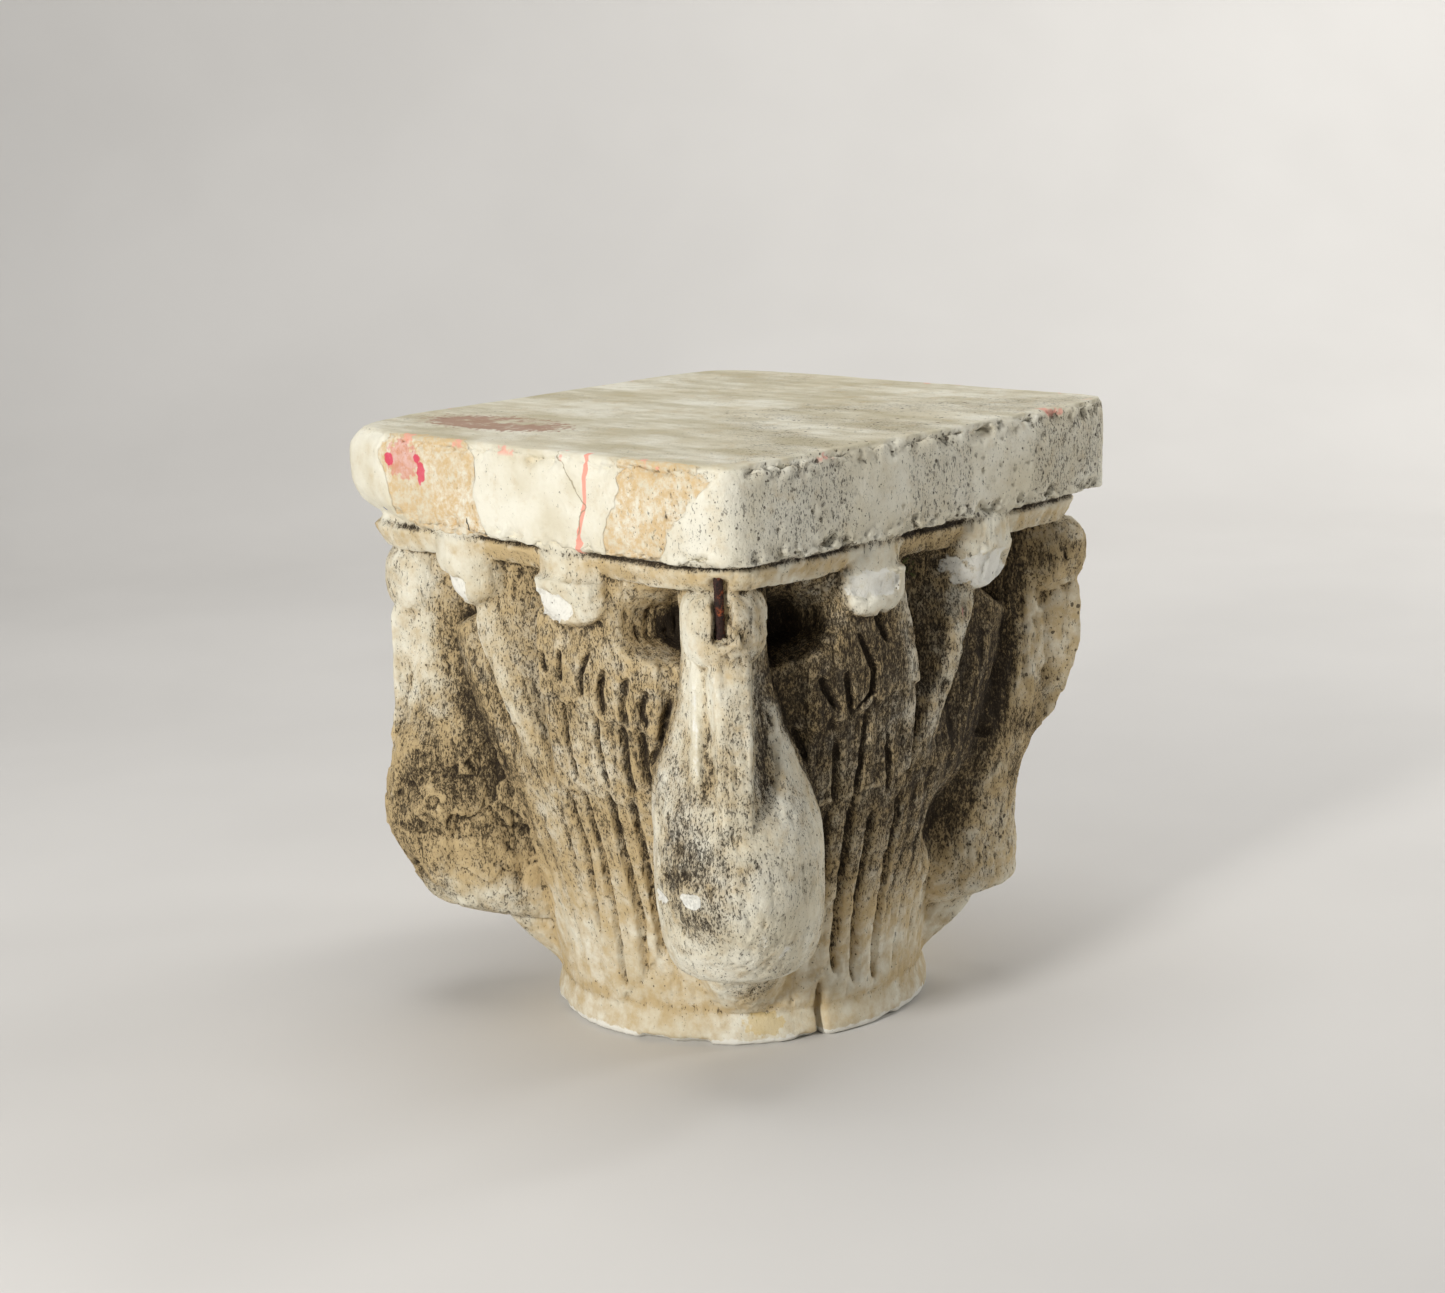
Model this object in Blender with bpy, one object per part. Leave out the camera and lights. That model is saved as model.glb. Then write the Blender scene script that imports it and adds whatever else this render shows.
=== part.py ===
"""A plaster capital: a square slab on a bell with a long-billed bird at each corner.

Metres, +Z up. The origin is at the middle of the underside, and the slab's sides are square
to X and Y. The casting is one closed relief around the Z axis. At each azimuth and height the
functions below say how far the plaster reaches from the axis, the way a carver works inwards
from a block: slab, moulding, bell and ring first, then wings, feathers and birds, then the
breaks. Azimuths are in degrees, 0 at -Y and 90 at +X.
"""

import math

import bmesh
import bpy
import numpy as np

# Driving sizes of the architecture
HEIGHT = 0.380
SLAB_SIDE = 0.358
SLAB_THICKNESS = 0.058
SLAB_EDGE_WEAR = 0.005
FRONT_CORNER_LOSS = 0.003
LEFT_CORNER_LOSS = 0.004
BACK_CORNER_LOSS = 0.010
MOULDING_HEIGHT = 0.018
MOULDING_SETBACK = 0.004
MOULDING_SIDE = SLAB_SIDE - 2.0 * MOULDING_SETBACK
MOULDING_SLANT = 0.006
MOULDING_COVE = 0.008
RING_HEIGHT = 0.022
RING_RADIUS = 0.1215
RING_STEP = 0.0018
RING_EDGE_WEAR = 0.002
RING_EDGE_HEIGHT = 0.003
RING_LEDGE_WEAR = 0.004

# Driving sizes of a bird. Its belly stands a setback inside the slab's corner
BELLY_SETBACK = 0.0211
BELLY_REACH = math.sqrt(0.5) * SLAB_SIDE - BELLY_SETBACK
BELLY_WIDTH = 0.101
BELLY_DEPTH = 0.062
NECK_SWAY = -0.004
NECK_WIDTH = 0.050
NECK_DEPTH = 0.030
HEAD_WIDTH = 0.050
BILL_WIDTH = 0.025
BILL_OFFSET = -0.002
BILL_ARRIS = 0.003
BILL_RISE = 0.004
RIGHT_BILL_RISE = 0.008
LEFT_BILL_RISE = -0.001
BILL_SINK = 0.005
BILL_ROOT_FALL = 0.010
BILL_SIDE_FALL = 0.010
TAIL_ROUNDING = 0.022
TAIL_SIDE_FALL = 0.030
FEATHER_GROOVE = 0.0038
FEATHER_SLANT = 0.001
ROW_STEP = 0.0024
LONG_ROW_STEP = 0.0018
WING_TIP_RISE = 0.015
WING_HOLLOW = 0.025
HEAD_HOLLOW = 0.036

# Soft joins between forms
BODY_FILLET = 0.004
TAIL_FILLET = 0.003
BILL_FILLET = 0.0015

# Breaks and dents
LEFT_ROUGHNESS = 0.0055
LEFT_LUMP_SIZE = 0.016
LEFT_BELLY_LOSS = 0.004
RIGHT_ROUGHNESS = 0.0035
RIGHT_LUMP_SIZE = 0.013
RIGHT_BELLY_LOSS = 0.047
KNOB_RISE = 0.009
SCOOP_DEPTH = 0.012
NOTCH_DEPTH = 0.014

# The wire that shows in the front bird's broken head: its slot runs from below the moulding's
# underside to above it, and its ends are held in sockets
ROD_DIAMETER = 0.0056
ROD_SOCKET = 0.006
ROD_OFFSET = -0.006
ROD_SETBACK = 0.0075
ROD_ABOVE = 0.009
ROD_BELOW = 0.028
SLOT_SIDE = 0.0012
GAP = 0.0003

# How square a plan is: 2 is a circle, and higher powers have sharper corners
SLAB_POWER = 17.0
MOULDING_POWER = 8.0
ROUND_POWER = 2.0
BELL_TOP_POWER = 2.7

# How finely the relief is worked, and how many faces it keeps
COLUMNS = 512
ROWS = 200
KEPT_TRIANGLES = 9300
OVERRUN = 0.002
ROD_SIDES = 16

# Angular sizes, in degrees: half the width of a groove between feathers, and the azimuths from a
# bird's middle between which a head hollow lies
GROOVE_ANGLE = 1.05
HOLLOW_START, HOLLOW_END = 5.0, 24.5

# How far a feather's rounded end hangs below its row, as a share of the carved height
ROW_SCALLOP = 0.016

# The V hollows between two birds' wings, by the azimuth of the face they are on: where their
# left and right edges are at the top, and the share of the width at which they are deepest
WING_HOLLOWS = {
    0.0: (-15.0, 2.0, 0.78),
    90.0: (-6.5, 13.5, 0.30),
    180.0: (-10.0, 8.5, 0.50),
    270.0: (-8.0, 11.0, 0.62),
}

BIRDS = (45.0, 135.0, 225.0, 315.0)
FRONT_BIRD, RIGHT_BIRD, BACK_BIRD, LEFT_BIRD = BIRDS

# Each wing's rounded tip, by bird and side: its azimuth from the bird's middle, half its width
# in degrees, and its share of the full rise
WING_TIPS = {
    (FRONT_BIRD, -1): (-33.0, 9.0, 0.90),
    (FRONT_BIRD, 1): (29.5, 8.0, 0.90),
    (RIGHT_BIRD, -1): (-26.5, 8.5, 1.15),
    (RIGHT_BIRD, 1): (31.0, 8.0, 0.70),
    (BACK_BIRD, -1): (-30.0, 8.0, 0.80),
    (BACK_BIRD, 1): (31.0, 8.0, 0.80),
    (LEFT_BIRD, -1): (-31.0, 8.0, 0.70),
    (LEFT_BIRD, 1): (23.0, 8.5, 1.15),
}

# How plainly the feathers of each wing still show, by bird, for its left and right wing
FEATHERS_LEFT = {
    FRONT_BIRD: (1.0, 1.0),
    RIGHT_BIRD: (0.25, 0.8),
    BACK_BIRD: (0.9, 0.8),
    LEFT_BIRD: (0.8, 0.1),
}

# Heights on the carved part are shares from the ring's top, 0, to the moulding's underside, 1
CARVED_TOP = HEIGHT - SLAB_THICKNESS - MOULDING_HEIGHT
CARVED_HEIGHT = CARVED_TOP - RING_HEIGHT

# Heads reach out as shares of the belly's reach
HEAD_SHARE = {FRONT_BIRD: 0.957, RIGHT_BIRD: 0.991, BACK_BIRD: 0.957, LEFT_BIRD: 0.944}

PLASTER = ((0.62, 0.56, 0.44), 0.9, 0.0)
RUSTY_IRON = ((0.10, 0.045, 0.028), 0.85, 0.6)


def share_of_height(z):
    return (z - RING_HEIGHT) / CARVED_HEIGHT


def ramp(value, start, end):
    """0 before start, 1 after end, and a smooth S between."""
    t = np.clip((value - start) / (end - start), 0.0, 1.0)
    return t * t * (3.0 - 2.0 * t)


def bump(value, middle, width):
    """1 at the middle, falling to 0 at a distance of width."""
    t = np.clip(1.0 - ((value - middle) / width) ** 2, 0.0, 1.0)
    return t * t


def flow(value, places, sizes):
    """A smooth curve through a few sizes, for a profile."""
    slopes = np.gradient(np.array(sizes), np.array(places))
    value = np.clip(value, places[0], places[-1])
    index = np.clip(np.searchsorted(places, value) - 1, 0, len(places) - 2)
    start = np.take(places, index)
    span = np.take(places, index + 1) - start
    t = (value - start) / span
    rise = np.take(sizes, index + 1) - np.take(sizes, index)
    first = np.take(slopes, index) * span - rise
    last = np.take(slopes, index + 1) * span - rise
    blend = t * (1.0 - t) * (first * (1.0 - t) - last * t)
    return np.take(sizes, index) + rise * t + blend


def join(one, other, fillet):
    """The outer of two surfaces, with a soft fillet where they meet."""
    t = np.clip(0.5 + 0.5 * (one - other) / fillet, 0.0, 1.0)
    return other + (one - other) * t + fillet * t * (1.0 - t)


def lattice(x, y, z, seed):
    """A repeatable value from -1 to 1 at each whole-numbered place."""
    mixed = np.sin(x * 127.1 + y * 311.7 + z * 74.7 + seed * 53.3) * 43758.5453
    return 2.0 * (mixed - np.floor(mixed)) - 1.0


def rough(x, y, z, size, seed):
    """Smooth random lumps about size across."""
    base = [np.floor(axis / size) for axis in (x, y, z)]
    part = [axis / size - low for axis, low in zip((x, y, z), base)]
    part = [t * t * (3.0 - 2.0 * t) for t in part]
    total = np.zeros_like(x)
    for corner in range(8):
        step = [(corner >> axis) & 1 for axis in range(3)]
        weight = np.ones_like(x)
        for t, up in zip(part, step):
            weight = weight * (t if up else 1.0 - t)
        total += weight * lattice(*[low + up for low, up in zip(base, step)], seed)
    return total


def square_plan(azimuth, side, power):
    """Reach of a rounded square, whose faces lie half a side from the axis."""
    angle = np.radians(azimuth)
    across = np.abs(np.sin(angle)) ** power + np.abs(np.cos(angle)) ** power
    return 0.5 * side * across ** (-1.0 / power)


def from_bird(azimuth, bird):
    """Azimuth from a bird's middle, from -180 to 180."""
    return (azimuth - bird + 180.0) % 360.0 - 180.0


def slab(azimuth, z):
    """The square slab, with worn arrises and corners."""
    bottom = HEIGHT - SLAB_THICKNESS
    top_wear = np.clip((z - (HEIGHT - SLAB_EDGE_WEAR)) / SLAB_EDGE_WEAR, 0.0, 1.0)
    low_wear = np.clip((bottom + SLAB_EDGE_WEAR - z) / SLAB_EDGE_WEAR, 0.0, 1.0)
    inset = SLAB_EDGE_WEAR * (2.0 - np.sqrt(1.0 - top_wear**2) - np.sqrt(1.0 - low_wear**2))
    reach = square_plan(azimuth, SLAB_SIDE, SLAB_POWER) - inset
    losses = ((FRONT_BIRD, FRONT_CORNER_LOSS), (LEFT_BIRD, LEFT_CORNER_LOSS), (BACK_BIRD, BACK_CORNER_LOSS))
    for bird, loss in losses:
        reach = reach - loss * bump(from_bird(azimuth, bird), 0.0, 12.0)
    return np.where(z > bottom, reach, 0.0)


def moulding(azimuth, z):
    """The thin moulding between slab and bell, which slants inwards under the slab."""
    bottom = CARVED_TOP
    slant = MOULDING_SLANT * (1.0 - ramp(z, bottom - 0.5 * MOULDING_HEIGHT, bottom + MOULDING_HEIGHT))
    cove_foot = bottom - MOULDING_COVE
    cove = 0.3 * MOULDING_SIDE * (1.0 - ramp(z, cove_foot, bottom + 0.25 * MOULDING_COVE))
    reach = square_plan(azimuth, MOULDING_SIDE, MOULDING_POWER) - slant - cove
    return np.where(z > cove_foot, reach, 0.0)


def ring(azimuth, z):
    """The short round ring at the foot."""
    wear = RING_EDGE_WEAR * (1.0 - ramp(z, 0.0, RING_EDGE_HEIGHT))
    wear = wear + RING_LEDGE_WEAR * ramp(z, 0.7 * RING_HEIGHT, RING_HEIGHT)
    return np.where(z < RING_HEIGHT, RING_RADIUS - wear, 0.0) + 0.0 * azimuth


def bell(azimuth, v):
    """The bell, round at the foot and nearly square under the moulding."""
    foot = RING_RADIUS - RING_STEP
    head = 0.5 * MOULDING_SIDE
    rise = flow(v, (0.0, 0.15, 0.32, 0.51, 0.67, 0.81, 1.0), (0.0, 0.11, 0.32, 0.56, 0.70, 0.77, 0.74))
    power = ROUND_POWER + (BELL_TOP_POWER - ROUND_POWER) * ramp(v, 0.15, 0.9)
    return square_plan(azimuth, 2.0 * (foot + (head - foot) * rise), power)


def wing_edge(v):
    """Azimuth from the bird at which a wing's feathers end."""
    return 45.0 - 7.0 * ramp(v, 0.48, 1.0)


def wing_hollow(azimuth, v):
    """The V-shaped hollows between two birds' wings, widest under the moulding."""
    opening = ramp(v, 0.45, 0.95)
    hollow = 0.0 * azimuth
    for face, (left, right, deepest) in WING_HOLLOWS.items():
        start, end = left * opening - 2.0, right * opening + 0.5
        across = (from_bird(azimuth, face) - start) / (end - start)
        slope = np.where(across < deepest, across / deepest, (1.0 - across) / (1.0 - deepest))
        hollow = hollow + ramp(slope, 0.0, 0.95) * np.minimum((end - start) / 7.0, 1.0)
    return WING_HOLLOW * hollow * ramp(v, 0.46, 0.60) * (1.0 - 0.5 * ramp(v, 0.94, 1.0))


def head_hollow(alpha, v):
    """The deep hollow on each side of a head, which runs out towards the wing's tip."""
    outwards = (np.abs(alpha) - HOLLOW_START) / (HOLLOW_END - HOLLOW_START)
    across = ramp(1.0 - outwards, 0.0, 0.75)
    lip = 0.833 + 0.043 * np.clip(outwards, 0.0, 1.0) ** 2
    down = ramp(v, lip - 0.014, lip + 0.032) * (1.0 - ramp(v, 0.894, 1.007))
    return HEAD_HOLLOW * across * down


def wing_tips(azimuth, v):
    """The rounded tips of the wings, knobs that stand out and run up into the moulding."""
    rise = 0.0 * azimuth
    for (bird, _), (middle, half_width, share) in WING_TIPS.items():
        off = np.abs((from_bird(azimuth, bird) - middle) / half_width) ** 2.4
        below = np.abs(np.minimum(v - 0.965, 0.0) / 0.070) ** 2.4
        rise = np.maximum(rise, share * np.sqrt(np.clip(1.0 - off - below, 0.0, 1.0)))
    return WING_TIP_RISE * rise


def feathers_left(azimuth):
    """How plainly the feathers still show at an azimuth."""
    left = 0.0 * azimuth
    for bird, shares in FEATHERS_LEFT.items():
        alpha = from_bird(azimuth, bird)
        for share, on_side in zip(shares, (alpha < 0.0, alpha >= 0.0)):
            left = np.where(on_side & (np.abs(alpha) <= 45.0), share, left)
    return left


def feather_row(side, v, low, high, first, pitch, lean):
    """One row of feathers: grooves between rounded slats, and how far the row above it has begun."""
    column = (side - first - lean * (v - low)) / pitch
    across = column - np.floor(column) - 0.5
    end = low - ROW_SCALLOP * (1.0 - 4.0 * across**2)
    on_wing = ramp(side, 14.0, 16.5) * (1.0 - ramp(side, wing_edge(v) - 2.5, wing_edge(v) - 0.8))
    groove = np.exp(-(((0.5 - np.abs(across)) * pitch / GROOVE_ANGLE) ** 2))
    inside = ramp(v, end, end + 0.02) * (1.0 - ramp(v, high - 0.05, high))
    slope = FEATHER_SLANT * (across + 0.5)
    return (slope - FEATHER_GROOVE * groove) * inside * on_wing, ramp(v, end - 0.006, end + 0.006)


def feathers(alpha, v):
    """Three rows of feathers on each wing, and the plain corner beside the tail."""
    side = np.abs(alpha)
    rise = 0.0022 * (side - 16.0)
    primaries, first_step = feather_row(side, v, 0.03, 0.52, 16.2, 6.6, 1.5)
    secondaries, second_step = feather_row(side, v, 0.505, 0.715 + rise, 15.0, 7.3, 0.0)
    coverts, third_step = feather_row(side, v, 0.700 + rise, 0.780 + rise, 12.2, 5.2, -3.0)
    steps = ROW_STEP * (second_step + third_step) * ramp(side, 13.0, 16.0)
    tail_line = 0.186 - 0.0082 * (side - 16.0)
    plain_corner = ramp(tail_line - v, -0.006, 0.006) * ramp(side, 12.0, 14.0)
    carved = (primaries + LONG_ROW_STEP * first_step) * (1.0 - plain_corner)
    return carved * (1.0 - second_step) + secondaries * (1.0 - third_step) + coverts + steps


def section(alpha, centre, depth, half_width, offset):
    """Reach of an upright form whose plan is an ellipse, or 0 where the azimuth misses it."""
    angle = np.radians(alpha)
    out, across = np.cos(angle), np.sin(angle)
    a = (out / depth) ** 2 + (across / half_width) ** 2
    b = out * centre / depth**2 + across * offset / half_width**2
    c = (centre / depth) ** 2 + (offset / half_width) ** 2 - 1.0
    inside = b * b - a * c
    reach = (b + np.sqrt(np.maximum(inside, 0.0))) / a
    return np.where((inside > 0.0) & (np.abs(alpha) < 90.0), reach, 0.0)


def body(alpha, v, worn, sway):
    """Neck, breast and belly in one: a teardrop that hangs from the head."""
    places = (0.15, 0.18, 0.23, 0.30, 0.41, 0.50, 0.60, 0.70, 0.80, 0.90, 1.0)
    front = (0.690, 0.840, 0.920, 0.978, 1.000, 0.975, 0.925, 0.897, 0.888, 0.880, 0.850)
    reach = BELLY_REACH * flow(v, places, front) - worn(v)
    fullness = flow(v, places, (0.30, 0.60, 0.82, 0.95, 1.0, 0.95, 0.74, 0.36, 0.08, 0.0, 0.0))
    half_width = 0.5 * (NECK_WIDTH + (BELLY_WIDTH - NECK_WIDTH) * fullness)
    depth = NECK_DEPTH + (BELLY_DEPTH - NECK_DEPTH) * fullness
    surface = section(alpha, reach - depth, depth, half_width, sway * ramp(v, 0.45, 0.60))
    return surface * (v > places[0])


def head(alpha, v, reach, sway):
    """The head, a rounded block on top of the neck."""
    half_height, middle, depth = 0.095, 0.925, NECK_DEPTH
    shrink = np.sqrt(np.maximum(1.0 - np.abs((v - middle) / half_height) ** 3.0, 1e-6))
    surface = section(alpha, reach - depth, depth * shrink, 0.5 * HEAD_WIDTH * shrink, sway)
    return surface * (np.abs(v - middle) < half_height)


def bill(alpha, v, offset, rise):
    """The long bill laid flat down the breast, which fades into the belly."""
    front = BELLY_REACH * flow(v, (0.45, 0.60, 0.75, 0.90), (0.975, 0.942, 0.928, 0.928))
    standing = ramp(v, 0.44, 0.58)
    front = front + rise * standing - BILL_SINK * (1.0 - standing) - BILL_ROOT_FALL * ramp(v, 0.84, 0.90)
    half_width = 0.5 * BILL_WIDTH * (0.92 + 0.10 * ramp(v, 0.45, 0.85))
    angle = np.radians(alpha)
    reach = front / np.maximum(np.cos(angle), 0.1)
    lateral = np.abs(reach * np.sin(angle) - offset)
    inset = BILL_SIDE_FALL * ramp(lateral, half_width - BILL_ARRIS, half_width)
    inside = (lateral < half_width) & (np.abs(alpha) < 30.0) & (v > 0.44) & (v < 0.90)
    return np.where(inside, reach - inset, 0.0)


def tail(alpha, v):
    """The short tail under the belly, which spreads down to the ring."""
    foot = RING_RADIUS - RING_STEP
    reach = foot + (BELLY_REACH - foot) * flow(v, (0.0, 0.04, 0.11, 0.19), (0.02, 0.12, 0.28, 0.45))
    spread = 15.0 - 26.0 * v
    across = np.abs(alpha) / np.maximum(spread, 1.0)
    fall = TAIL_ROUNDING * across**2 + TAIL_SIDE_FALL * ramp(across, 0.95, 1.25)
    return np.where((v < 0.19) & (np.abs(alpha) < 40.0), reach - fall, 0.0)


def whole(v):
    """Nothing is worn away."""
    return 0.0 * v


def worn_left(v):
    """The left bird's belly is knocked about on its outer side."""
    return LEFT_BELLY_LOSS * ramp(v, 0.16, 0.24) * (1.0 - ramp(v, 0.48, 0.60))


def worn_right(v):
    """The right bird's belly is broken away."""
    places = (0.0, 0.14, 0.20, 0.30, 0.41, 0.50, 0.60, 0.72)
    return RIGHT_BELLY_LOSS * flow(v, places, (0.0, 0.26, 0.60, 0.98, 1.0, 0.68, 0.30, 0.0))


# Each bird as it is left: what its body has lost, how far its neck and head lean sideways, and
# how far its bill stands out from the breast
STATES = {
    FRONT_BIRD: (whole, NECK_SWAY, BILL_RISE),
    RIGHT_BIRD: (worn_right, 0.0, RIGHT_BILL_RISE),
    BACK_BIRD: (whole, 0.0, BILL_RISE),
    LEFT_BIRD: (worn_left, 0.0, LEFT_BILL_RISE),
}


def bird(azimuth, v, centre):
    """Body, head, bill and tail of one bird."""
    alpha = from_bird(azimuth, centre)
    worn, sway, bill_rise = STATES[centre]
    head_reach = BELLY_REACH * HEAD_SHARE[centre]
    figure = join(body(alpha, v, worn, sway), head(alpha, v, head_reach, sway), BODY_FILLET)
    bill_middle = BILL_OFFSET if centre == FRONT_BIRD else 0.0
    figure = join(figure, bill(alpha, v, bill_middle, bill_rise) - worn(v), BILL_FILLET)
    return join(figure, tail(alpha, v), TAIL_FILLET)


def casting(azimuth, z):
    """How far the plaster reaches from the axis at an azimuth and a height."""
    v = share_of_height(z)
    alpha = (azimuth % 90.0) - 45.0
    ground = bell(azimuth, v) + feathers_left(azimuth) * feathers(alpha, v) + wing_tips(azimuth, v)
    ground = ground - wing_hollow(azimuth, v) - head_hollow(alpha, v)
    carved = ground
    for centre in BIRDS:
        carved = join(carved, bird(azimuth, v, centre), BODY_FILLET)
    under_slab = join(carved, moulding(azimuth, z), BODY_FILLET)
    reach = np.where((v > 0.0) & (v < 1.0), under_slab, 0.0)
    for form in (slab, ring):
        reach = np.maximum(reach, form(azimuth, z))
    reach = np.maximum(reach, np.where(v >= 1.0, moulding(azimuth, z), 0.0))
    return breaks(azimuth, z, reach)


def breaks(azimuth, z, reach):
    """The rough breaks on the side birds, with a knob and a scoop, and the notch in the ring."""
    angle = np.radians(azimuth)
    x, y = reach * np.sin(angle), -reach * np.cos(angle)
    v = share_of_height(z)
    from_left = from_bird(azimuth, LEFT_BIRD)
    broken = bump(from_left, 8.0, 26.0) * ramp(v, 0.10, 0.20) * (1.0 - ramp(v, 0.52, 0.68))
    knob = bump(np.hypot((from_left - 17.0) / 4.3, (v - 0.42) / 0.05), 0.0, 1.0)
    from_right = from_bird(azimuth, RIGHT_BIRD)
    ragged = bump(from_right, 0.0, 22.0) * ramp(v, 0.0, 0.1) * (1.0 - ramp(v, 0.93, 1.0))
    scoop = bump(from_right, -29.0, 10.0) * bump(v, 0.38, 0.14)
    notch = bump(from_bird(azimuth, FRONT_BIRD), 23.6, 1.3) * (1.0 - ramp(v, 0.03, 0.08))
    reach = reach + LEFT_ROUGHNESS * broken * rough(x, y, z, LEFT_LUMP_SIZE, 3) + KNOB_RISE * knob
    reach = reach + RIGHT_ROUGHNESS * ragged * rough(x, y, z, RIGHT_LUMP_SIZE, 5) - SCOOP_DEPTH * scoop
    return reach - NOTCH_DEPTH * notch


def block_of_plaster():
    """A fine grid wrapped round the axis and carved in, open at both ends."""
    bpy.ops.mesh.primitive_grid_add(x_subdivisions=COLUMNS, y_subdivisions=ROWS, size=2.0)
    block = bpy.context.active_object
    mesh = block.data
    places = np.empty(len(mesh.vertices) * 3)
    mesh.vertices.foreach_get("co", places)
    places = places.reshape(-1, 3)
    azimuth = 180.0 * (places[:, 0] + 1.0)
    z = (HEIGHT + 2.0 * OVERRUN) * 0.5 * (places[:, 1] + 1.0) - OVERRUN
    reach = casting(azimuth, np.clip(z, 0.0, HEIGHT))
    angle = np.radians(azimuth)
    carved = np.stack([reach * np.sin(angle), -reach * np.cos(angle), z], axis=-1)
    mesh.vertices.foreach_set("co", carved.ravel())
    weld = block.modifiers.new("close the seam", "WELD")
    weld.merge_threshold = 0.00005
    thin = block.modifiers.new("fewer faces", "DECIMATE")
    thin.ratio = KEPT_TRIANGLES / (2.0 * COLUMNS * ROWS)
    bpy.context.view_layer.update()
    evaluated = block.evaluated_get(bpy.context.evaluated_depsgraph_get())
    worked = bpy.data.meshes.new_from_object(evaluated)
    bpy.data.objects.remove(block)
    return worked


def cut_flat(mesh):
    """Cuts the ends off level and closes them, so top and underside are true planes."""
    shape = bmesh.new()
    shape.from_mesh(mesh)
    for height, side in ((0.0, -1.0), (HEIGHT, 1.0)):
        everything = shape.verts[:] + shape.edges[:] + shape.faces[:]
        bmesh.ops.bisect_plane(
            shape, geom=everything, plane_co=(0.0, 0.0, height), plane_no=(0.0, 0.0, side), clear_outer=True
        )
        rim = [edge for edge in shape.edges if edge.is_boundary and abs(edge.verts[0].co.z - height) < GAP]
        bmesh.ops.contextual_create(shape, geom=rim)
    bmesh.ops.recalc_face_normals(shape, faces=shape.faces[:])
    shape.to_mesh(mesh)
    shape.free()


def material(name, finish):
    colour, roughness, metallic = finish
    made = bpy.data.materials.new(name)
    made.use_nodes = True
    shader = made.node_tree.nodes["Principled BSDF"]
    shader.inputs["Base Color"].default_value = (*colour, 1.0)
    shader.inputs["Roughness"].default_value = roughness
    shader.inputs["Metallic"].default_value = metallic
    return made


def placed(name, mesh, collection):
    piece = bpy.data.objects.new(name, mesh)
    collection.objects.link(piece)
    return piece


def rod_place():
    """Where the wire's axis stands, in X and Y."""
    angle = math.radians(FRONT_BIRD)
    reach = BELLY_REACH * HEAD_SHARE[FRONT_BIRD] - ROD_SETBACK
    x = reach * math.sin(angle) + ROD_OFFSET * math.cos(angle)
    y = -reach * math.cos(angle) + ROD_OFFSET * math.sin(angle)
    return x, y


def upright(name, radius, low, high, sides, collection):
    """An upright cylinder on the wire's axis."""
    shape = bmesh.new()
    bmesh.ops.create_cone(
        shape, cap_ends=True, segments=sides, radius1=radius, radius2=radius, depth=high - low
    )
    mesh = bpy.data.meshes.new(name)
    shape.to_mesh(mesh)
    shape.free()
    piece = placed(name, mesh, collection)
    piece.location = (*rod_place(), 0.5 * (low + high))
    return piece


def slot_cutter(low, high, collection):
    """The broken slot in front of the wire, open outwards."""
    width = ROD_DIAMETER + 2.0 * SLOT_SIDE
    depth = 0.5 * HEAD_WIDTH
    shape = bmesh.new()
    bmesh.ops.create_cube(shape, size=1.0)
    bmesh.ops.scale(shape, vec=(width, depth, high - low), verts=shape.verts[:])
    bmesh.ops.translate(shape, vec=(0.0, -0.5 * depth, 0.0), verts=shape.verts[:])
    mesh = bpy.data.meshes.new("slot")
    shape.to_mesh(mesh)
    shape.free()
    cutter = placed("slot", mesh, collection)
    cutter.location = (*rod_place(), 0.5 * (low + high))
    cutter.rotation_euler = (0.0, 0.0, math.radians(FRONT_BIRD))
    return cutter


def cut(piece, cutter):
    cutter.hide_render = True
    cutter.display_type = "WIRE"
    tool = piece.modifiers.new(cutter.name, "BOOLEAN")
    tool.operation = "DIFFERENCE"
    tool.object = cutter


def main():
    for old in list(bpy.data.objects):
        bpy.data.objects.remove(old)
    parts = bpy.data.collections.new("plaster_capital")
    cutters = bpy.data.collections.new("cutters")
    for group in (parts, cutters):
        bpy.context.scene.collection.children.link(group)

    mesh = block_of_plaster()
    cut_flat(mesh)
    capital = placed("plaster_capital", mesh, parts)
    mesh.materials.clear()
    mesh.materials.append(material("plaster", PLASTER))
    mesh.shade_smooth()
    mesh.set_sharp_from_angle(angle=math.radians(40.0))

    slot_low, slot_high = CARVED_TOP - ROD_BELOW, CARVED_TOP + ROD_ABOVE
    low, high = slot_low - ROD_SOCKET, slot_high + ROD_SOCKET
    socket_radius = 0.5 * ROD_DIAMETER + GAP
    cut(capital, upright("socket", socket_radius, low - GAP, high + GAP, ROD_SIDES, cutters))
    cut(capital, slot_cutter(slot_low, slot_high, cutters))

    rod = upright("iron_rod", 0.5 * ROD_DIAMETER, low, high, ROD_SIDES, parts)
    rod.data.materials.append(material("rusty iron", RUSTY_IRON))
    rod.data.shade_smooth()
    rod.data.set_sharp_from_angle(angle=math.radians(40.0))


main()
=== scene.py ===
# %% [markdown]
# # A plaster capital with four birds
# This lesson dresses one imported part: a square slab on a bell with a long-billed bird at each
# corner, and a rusty wire in one bird's broken head. The imported model fixes every size. The
# looks are made here: fine carving, breaks, dirt and painted shade, stains and light.

# %%
# Load the imported model
import math

import bpy
import numpy as np
from mathutils import Matrix, Vector


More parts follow.
